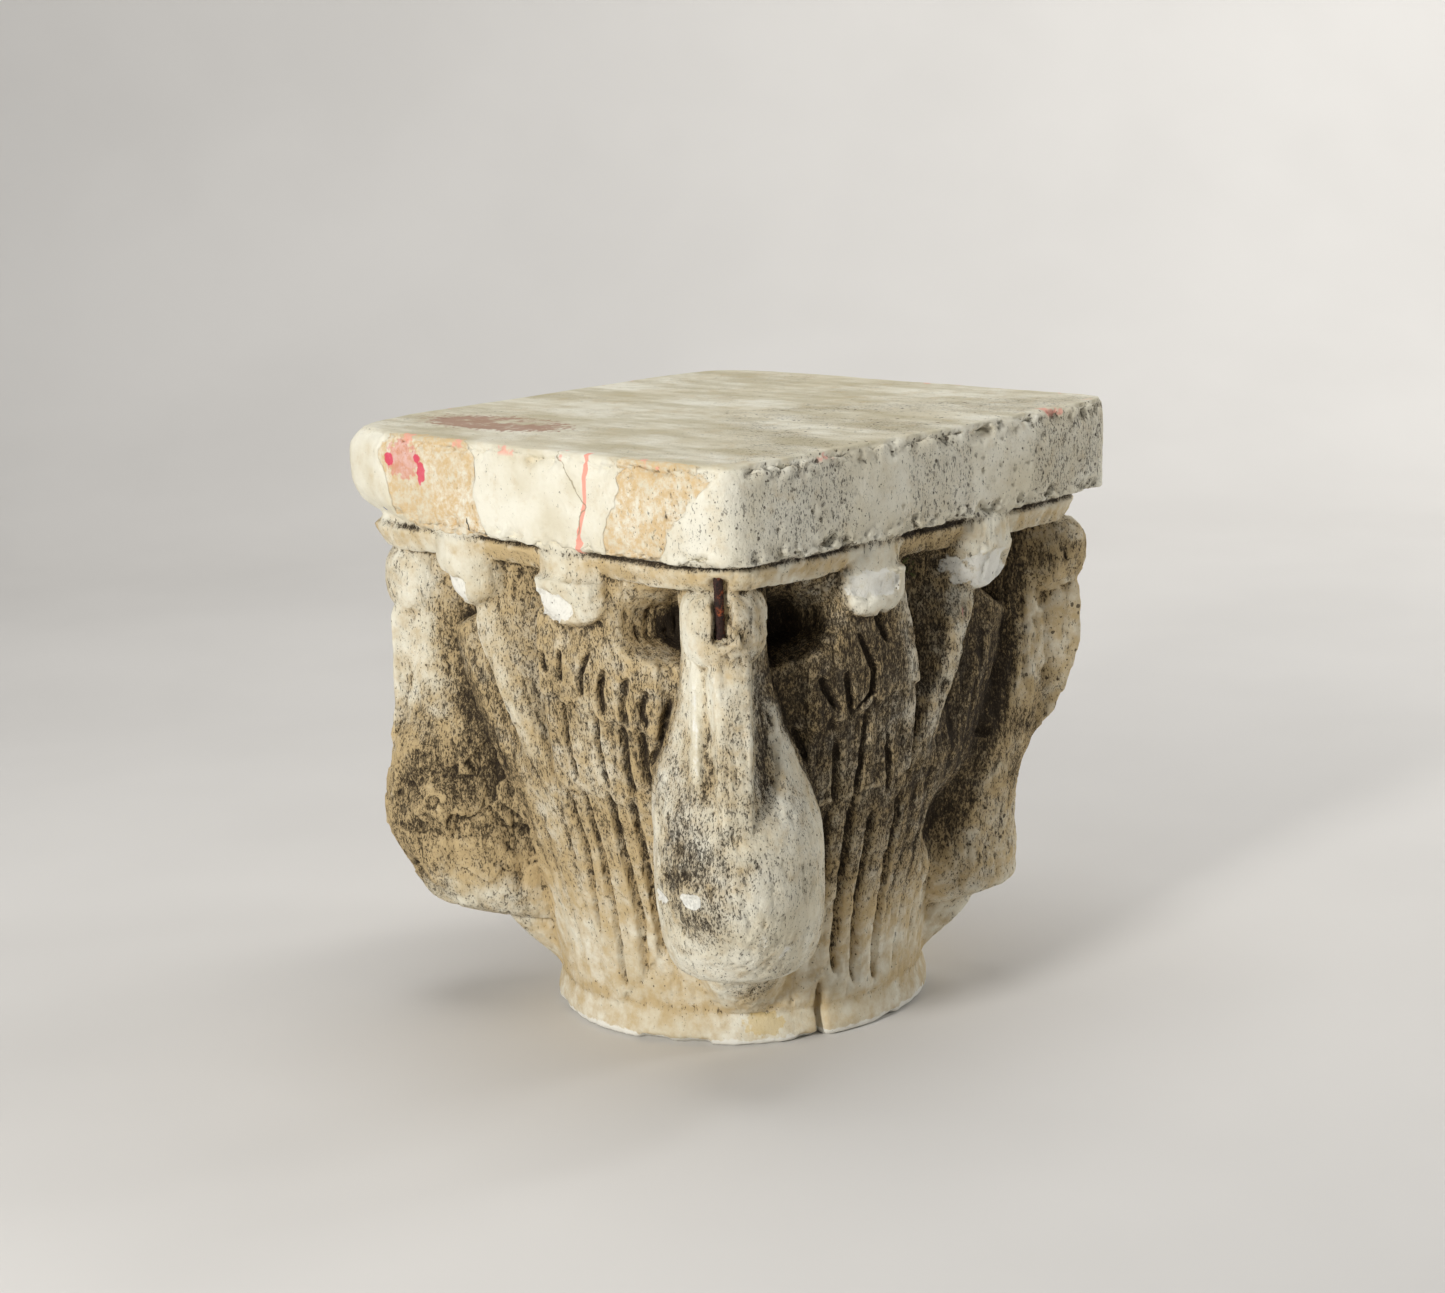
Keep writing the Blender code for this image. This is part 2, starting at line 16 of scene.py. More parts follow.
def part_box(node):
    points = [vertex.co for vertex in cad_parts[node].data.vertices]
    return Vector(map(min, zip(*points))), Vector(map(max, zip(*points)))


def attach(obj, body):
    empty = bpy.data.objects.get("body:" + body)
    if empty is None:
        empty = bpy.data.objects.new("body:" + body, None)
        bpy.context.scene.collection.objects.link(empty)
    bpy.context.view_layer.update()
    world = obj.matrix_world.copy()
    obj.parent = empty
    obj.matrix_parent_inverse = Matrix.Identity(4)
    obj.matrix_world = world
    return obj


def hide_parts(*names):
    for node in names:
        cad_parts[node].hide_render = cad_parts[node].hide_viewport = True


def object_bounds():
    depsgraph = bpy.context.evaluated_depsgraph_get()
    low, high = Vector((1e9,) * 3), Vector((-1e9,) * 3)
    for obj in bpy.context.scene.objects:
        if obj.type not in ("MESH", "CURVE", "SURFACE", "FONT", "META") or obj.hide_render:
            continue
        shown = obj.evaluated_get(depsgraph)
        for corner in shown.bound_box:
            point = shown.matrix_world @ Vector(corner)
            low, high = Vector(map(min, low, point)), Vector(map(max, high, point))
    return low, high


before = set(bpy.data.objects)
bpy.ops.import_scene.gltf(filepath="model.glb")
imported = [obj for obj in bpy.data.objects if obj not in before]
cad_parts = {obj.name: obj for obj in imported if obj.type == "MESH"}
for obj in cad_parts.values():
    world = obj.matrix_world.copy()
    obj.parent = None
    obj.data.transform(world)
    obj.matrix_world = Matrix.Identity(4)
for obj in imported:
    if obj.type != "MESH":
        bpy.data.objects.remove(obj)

cad_low, cad_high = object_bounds()
print("nodes:", sorted(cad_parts))
print("the CAD box is", [round(high - low, 4) for low, high in zip(cad_low, cad_high)], "m")

# %% [markdown]
# ## The camera
# The object stands square to X and Y, and the photograph looks at its -Y +X corner. So "right"
# and "away" in the picture are the diagonals below. The lens and the place were worked out from
# the slab's edges and the round foot.

# %%
# Directions in the picture, and the camera
RIGHT = Vector((math.sqrt(0.5), math.sqrt(0.5), 0.0))
AWAY = Vector((-math.sqrt(0.5), math.sqrt(0.5), 0.0))


def in_picture(right, away, up):
    """A point given by how far right, away and up it is, as the camera sees it."""
    return RIGHT * right + AWAY * away + Vector((0.0, 0.0, up))


def add_camera(distance, height, sideways, pitch, roll, lens):
    camera = bpy.data.objects.new("camera", bpy.data.cameras.new("camera"))
    bpy.context.scene.collection.objects.link(camera)
    camera.data.lens = lens
    camera.data.sensor_width = 36.0
    forward = AWAY * math.cos(pitch) - Vector((0.0, 0.0, math.sin(pitch)))
    turn = forward.to_track_quat("-Z", "Y").to_matrix().to_4x4() @ Matrix.Rotation(roll, 4, "Z")
    camera.matrix_world = Matrix.Translation(in_picture(sideways, -distance, height)) @ turn
    bpy.context.scene.camera = camera
    return camera


camera = add_camera(distance=1.670, height=0.596, sideways=-0.005, pitch=math.radians(12.45),
                    roll=math.radians(-2.18), lens=66.0)
print("the camera's place is", [round(value, 3) for value in camera.matrix_world.translation])

# %% [markdown]
# ## Random lumps that come out the same every time
# Plaster is worn by chance, but the lesson has to give one result. So one table of random
# numbers is drawn with a fixed seed, and every bit of roughness below is read from it.

# %%
# Smooth lumps, and broken facets
TABLE = np.random.default_rng(11).uniform(-1.0, 1.0, (64, 64, 64))
TURN = np.array(((0.8, -0.6, 0.0), (0.6, 0.8, 0.0), (0.0, 0.0, 1.0)))


def corner_value(low, step):
    i, j, k = ((low[:, axis] + step[axis]) & 63 for axis in range(3))
    return TABLE[i, j, k]


def lumps(points, size, seed=0, tall=1.0):
    """Smooth values from -1 to 1, about size across, and tall times as high as they are wide."""
    place = points / (size * np.array((1.0, 1.0, tall))) + 7.31 * seed + 100.0
    low = np.floor(place).astype(int)
    t = place - low
    t = t * t * (3.0 - 2.0 * t)
    total = np.zeros(len(points))
    for corner in range(8):
        step = [(corner >> axis) & 1 for axis in range(3)]
        weight = np.ones(len(points))
        for axis in range(3):
            weight *= t[:, axis] if step[axis] else 1.0 - t[:, axis]
        total += weight * corner_value(low, step)
    return total


def layered(points, size, seed=0, tall=1.0, layers=3):
    """Lumps with smaller lumps on them."""
    total = np.zeros(len(points))
    share = 0.0
    for layer in range(layers):
        weight = 0.55**layer
        points = points @ TURN
        total += weight * lumps(points, size * 0.5**layer, seed + 3 * layer, tall)
        share += weight
    return total / share


def facets(points, size, seed=0):
    """Broken plaster: flat facets at random slants, from about -1 to 1, and pits between them."""
    place = points / size + 5.17 * seed + 100.0
    home = np.floor(place).astype(int)
    nearest = np.full(len(points), 9.0)
    second = np.full(len(points), 9.0)
    height = np.zeros(len(points))
    for corner in range(27):
        step = [corner % 3 - 1, (corner // 3) % 3 - 1, corner // 9 - 1]
        cell = home + np.array(step)
        jitter = [corner_value(cell + 9 * axis + seed, (0, 0, 0)) for axis in range(3)]
        tilt = [corner_value(cell + 9 * axis + 31 + seed, (0, 0, 0)) for axis in range(3)]
        offset = place - (cell + 0.5 + 0.4 * np.stack(jitter, axis=-1))
        distance = (offset**2).sum(axis=1)
        slope = (offset * np.stack(tilt, axis=-1)).sum(axis=1) + 0.4 * tilt[0]
        closer = distance < nearest
        second = np.where(closer, nearest, np.minimum(second, distance))
        height = np.where(closer, slope, height)
        nearest = np.where(closer, distance, nearest)
    return height, np.sqrt(nearest), np.sqrt(second) - np.sqrt(nearest)


def only(mask, points, work):
    """What work gives for the points where the mask is over 0, and 0 elsewhere."""
    chosen = mask > 0.0
    values = np.zeros(len(points))
    values[chosen] = mask[chosen] * work(points[chosen])
    return values


print("the random table holds", TABLE.size, "values")

# %% [markdown]
# ## Soft shapes
# A few small curves do most of the carving: a ramp, a bump, a profile through a few sizes, and
# a soft join between two surfaces.

# %%
# Curves that the carving uses
def ramp(value, start, end):
    """0 before start, 1 after end, and a smooth S between."""
    t = np.clip((value - start) / (end - start), 0.0, 1.0)
    return t * t * (3.0 - 2.0 * t)


def bump(value, middle, width):
    """1 at the middle, falling to 0 at a distance of width."""
    t = np.clip(1.0 - ((value - middle) / width) ** 2, 0.0, 1.0)
    return t * t


def flow(value, places, sizes):
    """A smooth curve through a few sizes."""
    slopes = np.gradient(np.array(sizes), np.array(places))
    value = np.clip(value, places[0], places[-1])
    index = np.clip(np.searchsorted(places, value) - 1, 0, len(places) - 2)
    start = np.take(places, index)
    span = np.take(places, index + 1) - start
    t = (value - start) / span
    rise = np.take(sizes, index + 1) - np.take(sizes, index)
    first = np.take(slopes, index) * span - rise
    last = np.take(slopes, index + 1) * span - rise
    return np.take(sizes, index) + rise * t + t * (1.0 - t) * (first * (1.0 - t) - last * t)


def join(one, other, fillet):
    """The outer of two surfaces, with a soft fillet where they meet."""
    t = np.clip(0.5 + 0.5 * (one - other) / fillet, 0.0, 1.0)
    return other + (one - other) * t + fillet * t * (1.0 - t)


def square_plan(azimuth, side, power):
    """Reach of a rounded square, whose faces lie half a side from the axis."""
    angle = np.radians(azimuth)
    across = np.abs(np.sin(angle)) ** power + np.abs(np.cos(angle)) ** power
    return 0.5 * side * across ** (-1.0 / power)


def from_bird(azimuth, bird):
    """Azimuth from a bird's middle, from -180 to 180."""
    return (azimuth - bird + 180.0) % 360.0 - 180.0


# %% [markdown]
# ## The architecture
# Everything is a reach: how far the plaster stands out from the axis at an azimuth and a
# height. Slab, moulding, bell and ring come first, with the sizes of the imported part.

# %%
# Sizes, in metres, and the plain forms
HEIGHT = cad_high[2] - cad_low[2]
SLAB_SIDE = cad_high[0] - cad_low[0]
SLAB_THICKNESS = 0.058
MOULDING_HEIGHT = 0.018
MOULDING_SIDE = 0.350
RING_HEIGHT = 0.022
RING_RADIUS = 0.1215
RING_STEP = 0.0018
CARVED_TOP = HEIGHT - SLAB_THICKNESS - MOULDING_HEIGHT
CARVED_HEIGHT = CARVED_TOP - RING_HEIGHT

FRONT, RIGHT_BIRD, BACK, LEFT_BIRD = BIRDS = (45.0, 135.0, 225.0, 315.0)


def slab(azimuth, z, points):
    """The slab: chipped arrises, and corners worn round."""
    bottom = HEIGHT - SLAB_THICKNESS
    rough = layered(points, 0.024, 2)
    near_corner = bump(from_bird(azimuth, FRONT), 0.0, 16.0)
    eroded = bump(from_bird(azimuth, LEFT_BIRD), 2.0, 17.0)
    nicks = 0.0052 + 0.0045 * rough + 0.004 * near_corner + 0.012 * eroded
    top_wear = np.clip((z - (HEIGHT - nicks)) / nicks, 0.0, 1.0)
    low_size = 0.0028 + 0.0020 * rough + 0.028 * eroded
    low_wear = np.clip((bottom + low_size - z) / low_size, 0.0, 1.0)
    inset = nicks * (1.0 - np.sqrt(1.0 - top_wear**2))
    inset = inset + low_size * (1.0 - np.sqrt(1.0 - low_wear**2))
    reach = square_plan(azimuth, SLAB_SIDE, 17.0) - inset
    for bird, loss in ((FRONT, 0.003), (LEFT_BIRD, 0.006), (BACK, 0.010), (RIGHT_BIRD, 0.001)):
        reach = reach - loss * bump(from_bird(azimuth, bird), 0.0, 12.0)
    return np.where(z > bottom, reach, 0.0)


def moulding(azimuth, z, points):
    """The band under the slab, dented and uneven."""
    bottom = CARVED_TOP + 0.0025 * layered(points, 0.045, 5)
    slant = 0.013 * (1.0 - ramp(z, bottom - 0.012, bottom + 0.018))
    cove = 0.1 * (1.0 - ramp(z, bottom - 0.008, bottom + 0.002))
    reach = square_plan(azimuth, MOULDING_SIDE, 8.0) - slant - cove
    reach = reach - 0.0022 * (1.0 - bump(from_bird(azimuth, LEFT_BIRD), 0.0, 20.0))
    gap = 0.006 * ramp(z, HEIGHT - SLAB_THICKNESS - 0.0045, HEIGHT - SLAB_THICKNESS - 0.0015)
    gap = gap * np.clip(0.8 + 0.9 * layered(points, 0.03, 8), 0.0, 1.3)
    dents = 0.0020 * (1.0 + layered(points, 0.03, 6))
    return np.where(z > bottom - 0.008, reach - gap - dents, 0.0)


def ring(azimuth, z, points):
    """The short ring at the foot, with a chipped lower edge and a ledge that is nearly worn off."""
    chips = 0.003 + 0.005 * ramp(layered(points, 0.018, 9), 0.0, 0.5)
    wear = chips * (1.0 - ramp(z, 0.0, chips)) ** 2 + 0.0030 * ramp(z, 0.006, RING_HEIGHT)
    return np.where(z < RING_HEIGHT, RING_RADIUS - wear, 0.0)


def bell(azimuth, v):
    """The bell, round at the foot and nearly square under the moulding."""
    foot = RING_RADIUS - RING_STEP
    head = 0.5 * MOULDING_SIDE
    places, rises = (0.0, 0.15, 0.32, 0.51, 0.67, 0.81, 1.0), (0.0, 0.11, 0.32, 0.56, 0.70, 0.77, 0.74)
    rise = flow(v, places, rises)
    power = 2.0 + 0.7 * ramp(v, 0.15, 0.9)
    return square_plan(azimuth, 2.0 * (foot + (head - foot) * rise), power)


print("the carved part is", round(CARVED_HEIGHT, 3), "m tall")

# %% [markdown]
# ## Hollows and wing tips
# Two neighbouring wings leave a V-shaped hollow under the moulding. Each side of the V is the
# edge of a wing, so it is given as a path: azimuths at a few heights. Each wing ends above in a
# rounded tip, and there is a deep hollow on each side of a head.

# %%
# V hollows, head hollows and tips
VALLEY_HEIGHTS = (0.150, 0.185, 0.210, 0.235, 0.257, 0.285, 0.304)
VALLEYS = {
    0.0: ((-2.5, -4.0, -6.5, -10.0, -14.0, -16.5, -17.0), (-1.5, -1.3, 0.0, 1.0, 1.2, 1.8, 2.5), 0.78),
    90.0: ((-1.8, -1.5, -2.0, -2.6, -4.0, -6.0, -7.5), (-1.0, 0.5, 2.8, 6.0, 9.5, 13.0, 14.5), 0.30),
    180.0: ((-2.0, -2.5, -3.5, -5.0, -8.0, -10.0, -11.0), (0.5, 1.0, 2.0, 3.5, 6.0, 8.0, 9.0), 0.50),
    270.0: ((-1.5, -1.8, -2.5, -4.0, -6.0, -8.0, -9.0), (1.0, 2.0, 3.5, 6.0, 9.0, 11.0, 12.0), 0.62),
}
VALLEY_DEPTH = 0.026
HEAD_HOLLOW = 0.036

# A tip for each bird and side: azimuth from the bird, half width in degrees, rise
TIPS = {
    (FRONT, -1): (-33.0, 9.0, 0.013),
    (FRONT, 1): (29.5, 8.0, 0.013),
    (LEFT_BIRD, 1): (23.0, 8.5, 0.017),
    (LEFT_BIRD, -1): (-31.0, 8.0, 0.010),
    (RIGHT_BIRD, -1): (-26.5, 8.5, 0.017),
    (RIGHT_BIRD, 1): (31.0, 8.0, 0.010),
    (BACK, -1): (-30.0, 8.0, 0.012),
    (BACK, 1): (31.0, 8.0, 0.012),
}

# A head hollow for each bird and side: where it starts beside the head and where it runs out,
# in degrees from the bird, and its share of the full depth
HEAD_HOLLOWS = {
    (FRONT, -1): (-5.0, -24.5, 1.0),
    (FRONT, 1): (4.0, 24.0, 1.0),
    (LEFT_BIRD, 1): (5.0, 22.0, 0.50),
    (LEFT_BIRD, -1): (-5.0, -23.0, 0.9),
    (RIGHT_BIRD, -1): (-5.0, -23.0, 0.50),
    (RIGHT_BIRD, 1): (5.0, 23.0, 0.9),
    (BACK, -1): (-5.0, -23.0, 0.9),
    (BACK, 1): (5.0, 23.0, 0.9),
}


def valley_edge(azimuth, z, face, side):
    """Degrees from one side of a face's V, 0 for its left side and 1 for its right."""
    return from_bird(azimuth, face + np.interp(z, VALLEY_HEIGHTS, VALLEYS[face][side]))


def valleys(azimuth, z):
    """How deep the V hollows are, from 0 to 1."""
    depth = np.zeros_like(azimuth)
    for face, (left, right, deepest) in VALLEYS.items():
        across = from_bird(azimuth, face)
        low, high = np.interp(z, VALLEY_HEIGHTS, left), np.interp(z, VALLEY_HEIGHTS, right)
        t = np.clip((across - low) / (high - low), 0.0, 1.0)
        side = np.where(t < deepest, t / deepest, (1.0 - t) / (1.0 - deepest))
        width = np.clip((high - low) / 7.0, 0.0, 1.0)
        depth = depth + ramp(side, -0.05, 0.95) * width * (side > 0.0)
    return depth * ramp(z, 0.150, 0.185) * (1.0 - 0.6 * ramp(z, 0.292, 0.310))


def head_hollows(azimuth, z, points):
    """How deep the hollows beside the heads are, from 0 to 1: a scoop that goes in and down."""
    depth = np.zeros_like(azimuth)
    uneven = layered(points, 0.03, 12)
    for (bird, side), (start, end, share) in HEAD_HOLLOWS.items():
        t = (from_bird(azimuth, bird) - start) / (end - start) + 0.05 * uneven
        across = ramp(1.0 - t, 0.0, 0.62) * (t > -0.5)
        lip = 0.255 + 0.016 * np.clip(t, 0.0, 1.0) ** 2 + 0.002 * uneven
        down = ramp(z, lip - 0.004, lip + 0.010) * (1.0 - ramp(z, 0.274 + 0.004 * t, 0.309))
        depth = np.maximum(depth, share * across * down)
    return depth


def ridges(azimuth, z):
    """The raised edge of each side bird's front wing, and the worn hollow behind it."""
    high = ramp(z, 0.165, 0.215) * (1.0 - ramp(z, 0.262, 0.290))
    left, right = valley_edge(azimuth, z, 0.0, 0), valley_edge(azimuth, z, 90.0, 1)
    raised = np.maximum(bump(left, -4.0, 5.0), bump(right, 3.5, 5.2))
    worn = np.maximum(bump(left, -11.5, 6.5), bump(right, 12.0, 7.5))
    return high * (0.0040 * raised - 0.0095 * worn)


def tips(azimuth, z, points):
    """The rounded wing tips, which run up into the moulding."""
    total = np.zeros_like(azimuth)
    for (bird, side), (middle, width, rise) in TIPS.items():
        off = (from_bird(azimuth, bird) - middle) / width
        below = np.minimum(z - 0.294, 0.0) / 0.019
        inside = np.clip(1.0 - np.abs(off) ** 2.4 - np.abs(below) ** 2.4, 0.0, 1.0)
        total = np.maximum(total, rise * (1.0 + 0.25 * ramp(z, 0.290, 0.306)) * inside**0.5)
    return total


# %% [markdown]
# ## Feathers
# The carver cut each feather with a gouge. A cut follows a path down the wing, has a point at
# both ends and leaves a small burr beside it. The paths are azimuths from the bird at a few
# heights. Three rows of feathers lie over each other like tiles, so each row ends in a step.

# %%
# Gouge cuts, row by row
LEFT_CUTS = (
    ((0.243, -42.0), (0.256, -43.5)),
    ((0.239, -37.8), (0.260, -37.3)),
    ((0.231, -32.4), (0.246, -32.0), (0.260, -29.5)),
    ((0.221, -27.0), (0.236, -27.3), (0.251, -25.9)),
    ((0.215, -21.7), (0.231, -22.1), (0.247, -20.8)),
    ((0.216, -17.2), (0.229, -17.9), (0.240, -16.7)),
    ((0.190, -18.0), (0.210, -14.2), (0.235, -12.4)),
    ((0.176, -38.0), (0.201, -39.1), (0.227, -38.4)),
    ((0.171, -29.0), (0.201, -30.3), (0.223, -29.4)),
    ((0.163, -22.5), (0.192, -23.6), (0.218, -22.7)),
    ((0.174, -18.2), (0.190, -19.1), (0.213, -18.9)),
)
LEFT_LONG_CUTS = (
    ((0.030, -45.8), (0.048, -46.6), (0.092, -43.2), (0.127, -41.4), (0.168, -42.8)),
    ((0.032, -38.2), (0.081, -37.0), (0.126, -36.2), (0.170, -37.3)),
    ((0.042, -30.0), (0.084, -28.5), (0.125, -29.0), (0.172, -29.6)),
    ((0.055, -23.5), (0.078, -23.0), (0.113, -23.2), (0.170, -23.9)),
)
RIGHT_CUTS = (
    ((0.218, 24.6), (0.230, 29.1), (0.243, 29.5), (0.267, 25.8)),
    ((0.219, 23.9), (0.245, 22.9)),
    ((0.222, 20.8), (0.244, 17.0)),
    ((0.257, 33.4), (0.281, 29.6)),
    ((0.160, 22.0), (0.203, 21.4)),
    ((0.158, 27.4), (0.186, 28.1), (0.219, 28.6)),
    ((0.160, 37.8), (0.198, 35.0)),
    ((0.192, 14.5), (0.214, 12.0)),
)
RIGHT_LONG_CUTS = (
    ((0.060, 20.4), (0.105, 21.4), (0.156, 21.0)),
    ((0.040, 27.9), (0.085, 27.1), (0.158, 27.2)),
    ((0.030, 34.9), (0.093, 33.1), (0.150, 33.9)),
    ((0.030, 42.9), (0.088, 42.1), (0.160, 42.6)),
)
FOOT_LINE = ((0.020, -40.0), (0.048, -27.0), (0.074, -16.0))

# How plainly the feathers of each bird's wings still show
FEATHERS_LEFT = {(FRONT, -1): 1.0, (FRONT, 1): 1.0, (LEFT_BIRD, 1): 0.08, (LEFT_BIRD, -1): 0.8,
                 (RIGHT_BIRD, -1): 0.22, (RIGHT_BIRD, 1): 0.8, (BACK, -1): 0.9, (BACK, 1): 0.8}


def cut(across, z, path, width, depth, blunt):
    """One gouge cut: its depth, and the thin burr beside it. blunt keeps it full to its ends."""
    heights, azimuths = zip(*path)
    middle = np.interp(z, heights, azimuths)
    along = np.clip((z - heights[0]) / (heights[-1] - heights[0]), 0.0, 1.0)
    taper = np.sqrt(np.clip(blunt * along * (1.0 - along), 0.0, 1.0))
    off = np.abs(across - middle) / (width * (0.35 + 0.65 * taper))
    groove = np.clip(1.0 - off**2, 0.0, 1.0) ** 0.8
    burr = np.exp(-(((off - 1.35) / 0.35) ** 2))
    return depth * taper * (groove - 0.16 * burr)


def row_end(side, height, lean, pitch, scallop, start):
    """Height at which a row of rounded feather ends stops."""
    share = (side - start) / pitch
    part = share - np.floor(share)
    return height - scallop * (1.0 - (2.0 * part - 1.0) ** 2) + lean * (side - 30.0)


def wing(across, z, strength):
    """Carving of one bird's two wings: steps of the rows, and the cuts."""
    side = np.abs(across)
    on_wing = ramp(side, 12.0, 15.0) * (1.0 - ramp(side, 43.5, 46.0))
    covert_end = row_end(side, 0.2255, 0.0007, 5.2, 0.006, 14.0)
    second_end = row_end(side, 0.167, 0.0004, 7.0, 0.003, 15.5)
    step = 0.0030 * ramp(z, covert_end - 0.0016, covert_end + 0.0016)
    step = step + 0.0022 * ramp(z, second_end - 0.0016, second_end + 0.0016)
    relief = step * on_wing * ramp(strength, 0.0, 0.6)
    carved = np.zeros_like(across)
    for path in LEFT_CUTS + RIGHT_CUTS:
        carved = np.maximum(carved, cut(across, z, path, 1.05, 0.0052, 6.0))
    for path in LEFT_LONG_CUTS + RIGHT_LONG_CUTS:
        carved = np.maximum(carved, cut(across, z, path, 1.35, 0.0055, 16.0))
    carved = np.maximum(carved, cut(across, z, FOOT_LINE, 1.6, 0.0030, 16.0))
    slat = np.abs(np.sin(np.radians(27.0) * (side - 1.0 + 8.0 * z)))
    rounding = 0.0011 * slat * on_wing * (1.0 - ramp(z, 0.225, 0.240)) * ramp(z, 0.03, 0.06)
    foot_line = np.interp(-across, (16.0, 27.0, 40.0), (0.074, 0.048, 0.020))
    plain = (across < 0.0) * ramp(foot_line - z, -0.001, 0.001)
    return relief + (rounding - 0.0016 * plain - carved * (1.0 - plain)) * strength, carved * strength


def feather_strength(across, bird):
    left, right = FEATHERS_LEFT[(bird, -1)], FEATHERS_LEFT[(bird, 1)]
    return np.where(across < 0.0, left, right)


# %% [markdown]
# ## The birds
# Each bird is one figure: a body like a hanging drop, a head, a bill laid flat down the breast
# and a short tail. The front bird is whole but for its head. The left one is knocked about on
# its belly and the right one has lost its front.

# %%
# Body, head, bill and tail
BELLY_REACH = 0.232
HEAD_SHARE = {FRONT: 0.957, RIGHT_BIRD: 0.991, BACK: 0.957, LEFT_BIRD: 0.944}


def section(across, centre, depth, half_width, offset):
    """Reach of an upright form whose plan is an ellipse, or 0 where the azimuth misses it."""
    angle = np.radians(across)
    out, sideways = np.cos(angle), np.sin(angle)
    a = (out / depth) ** 2 + (sideways / half_width) ** 2
    b = out * centre / depth**2 + sideways * offset / half_width**2
    c = (centre / depth) ** 2 + (offset / half_width) ** 2 - 1.0
    inside = b * b - a * c
    reach = (b + np.sqrt(np.maximum(inside, 0.0))) / a
    return np.where((inside > 0.0) & (np.abs(across) < 90.0), reach, 0.0)


def body(across, v, worn, sway):
    """Neck, breast and belly in one."""
    places = (0.13, 0.16, 0.21, 0.29, 0.41, 0.50, 0.60, 0.70, 0.80, 0.90, 1.0)
    front = (0.690, 0.835, 0.915, 0.975, 1.000, 0.975, 0.925, 0.897, 0.888, 0.880, 0.850)
    reach = BELLY_REACH * flow(v, places, front) - worn
    fullness = flow(v, places, (0.28, 0.60, 0.82, 0.95, 1.0, 0.95, 0.74, 0.36, 0.08, 0.0, 0.0))
    half_width = 0.5 * (0.050 + 0.051 * fullness)
    depth = 0.030 + 0.032 * fullness
    surface = section(across, reach - depth, depth, half_width, sway * ramp(v, 0.45, 0.60))
    return surface * (v > places[0])


def head(across, v, reach, sway):
    """The head, a rounded block on top of the neck."""
    shrink = np.sqrt(np.maximum(1.0 - np.abs((v - 0.925) / 0.095) ** 3.0, 1e-6))
    surface = section(across, reach - 0.030, 0.030 * shrink, 0.025 * shrink, sway)
    return surface * (np.abs(v - 0.925) < 0.095)


def bill(across, v, offset, rise):
    """The long bill, which sinks into the belly at its lower end."""
    front = BELLY_REACH * flow(v, (0.42, 0.60, 0.75, 0.90), (0.990, 0.942, 0.928, 0.928))
    standing = ramp(v, 0.43, 0.56)
    front = front + (rise + 0.0015) * standing - 0.006 * (1.0 - standing) - 0.010 * ramp(v, 0.84, 0.90)
    half_width = 0.0125 * (0.90 + 0.12 * ramp(v, 0.45, 0.85))
    angle = np.radians(across)
    reach = front / np.maximum(np.cos(angle), 0.1)
    lateral = reach * np.sin(angle) - offset
    soft_left = 0.014 * ramp(-lateral, half_width - 0.005, half_width + 0.0015)
    sharp_right = 0.014 * ramp(lateral, half_width - 0.0006, half_width + 0.0008)
    inside = (np.abs(lateral) < half_width + 0.002) & (np.abs(across) < 30.0) & (v > 0.42) & (v < 0.90)
    return np.where(inside, reach - soft_left - sharp_right, 0.0)


def tail(across, v):
    """The broken tail under the belly: a stub on each side, and a sunk middle."""
    foot = RING_RADIUS - RING_STEP
    reach = foot + (BELLY_REACH - foot) * flow(v, (0.0, 0.04, 0.11, 0.19), (0.02, 0.12, 0.28, 0.45))
    spread = np.abs(across) / np.maximum(15.0 - 26.0 * v, 1.0)
    stubs = 0.004 * bump(across, -6.5, 4.0) + 0.003 * bump(across, 7.0, 5.0)
    fall = 0.022 * spread**2 + 0.03 * ramp(spread, 0.95, 1.25) - stubs * bump(v, 0.09, 0.07)
    return np.where((v < 0.19) & (np.abs(across) < 40.0), reach - fall, 0.0)


def worn_left(v):
    return 0.004 * ramp(v, 0.16, 0.24) * (1.0 - ramp(v, 0.48, 0.60))


def worn_right(v):
    places = (0.0, 0.14, 0.20, 0.30, 0.41, 0.50, 0.60, 0.72)
    return flow(v, places, (0.0, 0.012, 0.028, 0.046, 0.047, 0.032, 0.014, 0.0))


def not_worn(v):
    return 0.0 * v


# What each bird has lost, how its breast sways, where its bill is and how far it stands out
STATES = {
    FRONT: (not_worn, -0.004, -0.0020, 0.0040),
    RIGHT_BIRD: (worn_right, 0.0, 0.0, 0.0080),
    BACK: (not_worn, 0.0, 0.0, 0.0040),
    LEFT_BIRD: (worn_left, 0.0, 0.0, -0.0010),
}


def bird(azimuth, v, which):
    across = from_bird(azimuth, which)
    worn, sway, bill_place, bill_rise = STATES[which]
    lost = worn(v)
    head_reach = BELLY_REACH * HEAD_SHARE[which]
    figure = join(body(across, v, lost, sway), head(across, v, head_reach, sway), 0.004)
    ridge = 0.0045 * bump(across, -6.3, 1.5) * ramp(v, 0.52, 0.62) * (1.0 - ramp(v, 0.80, 0.88))
    groove = 0.0050 * bump(across, 5.4, 2.6) * ramp(v, 0.50, 0.60) * (1.0 - ramp(v, 0.82, 0.88))
    figure = figure + (ridge - groove) * (which == FRONT)
    figure = join(figure, bill(across, v, bill_place, bill_rise) - lost, 0.0008)
    return join(figure, tail(across, v), 0.003)


# %% [markdown]
# ## Breaks
# Chips knock flat facets off what stands out. They are listed by place and size, because the
# same list later tells the paint where the plaster is fresh and white. The slot in the front
# head, the notch in the ring, and the knob and crater on the left belly follow.

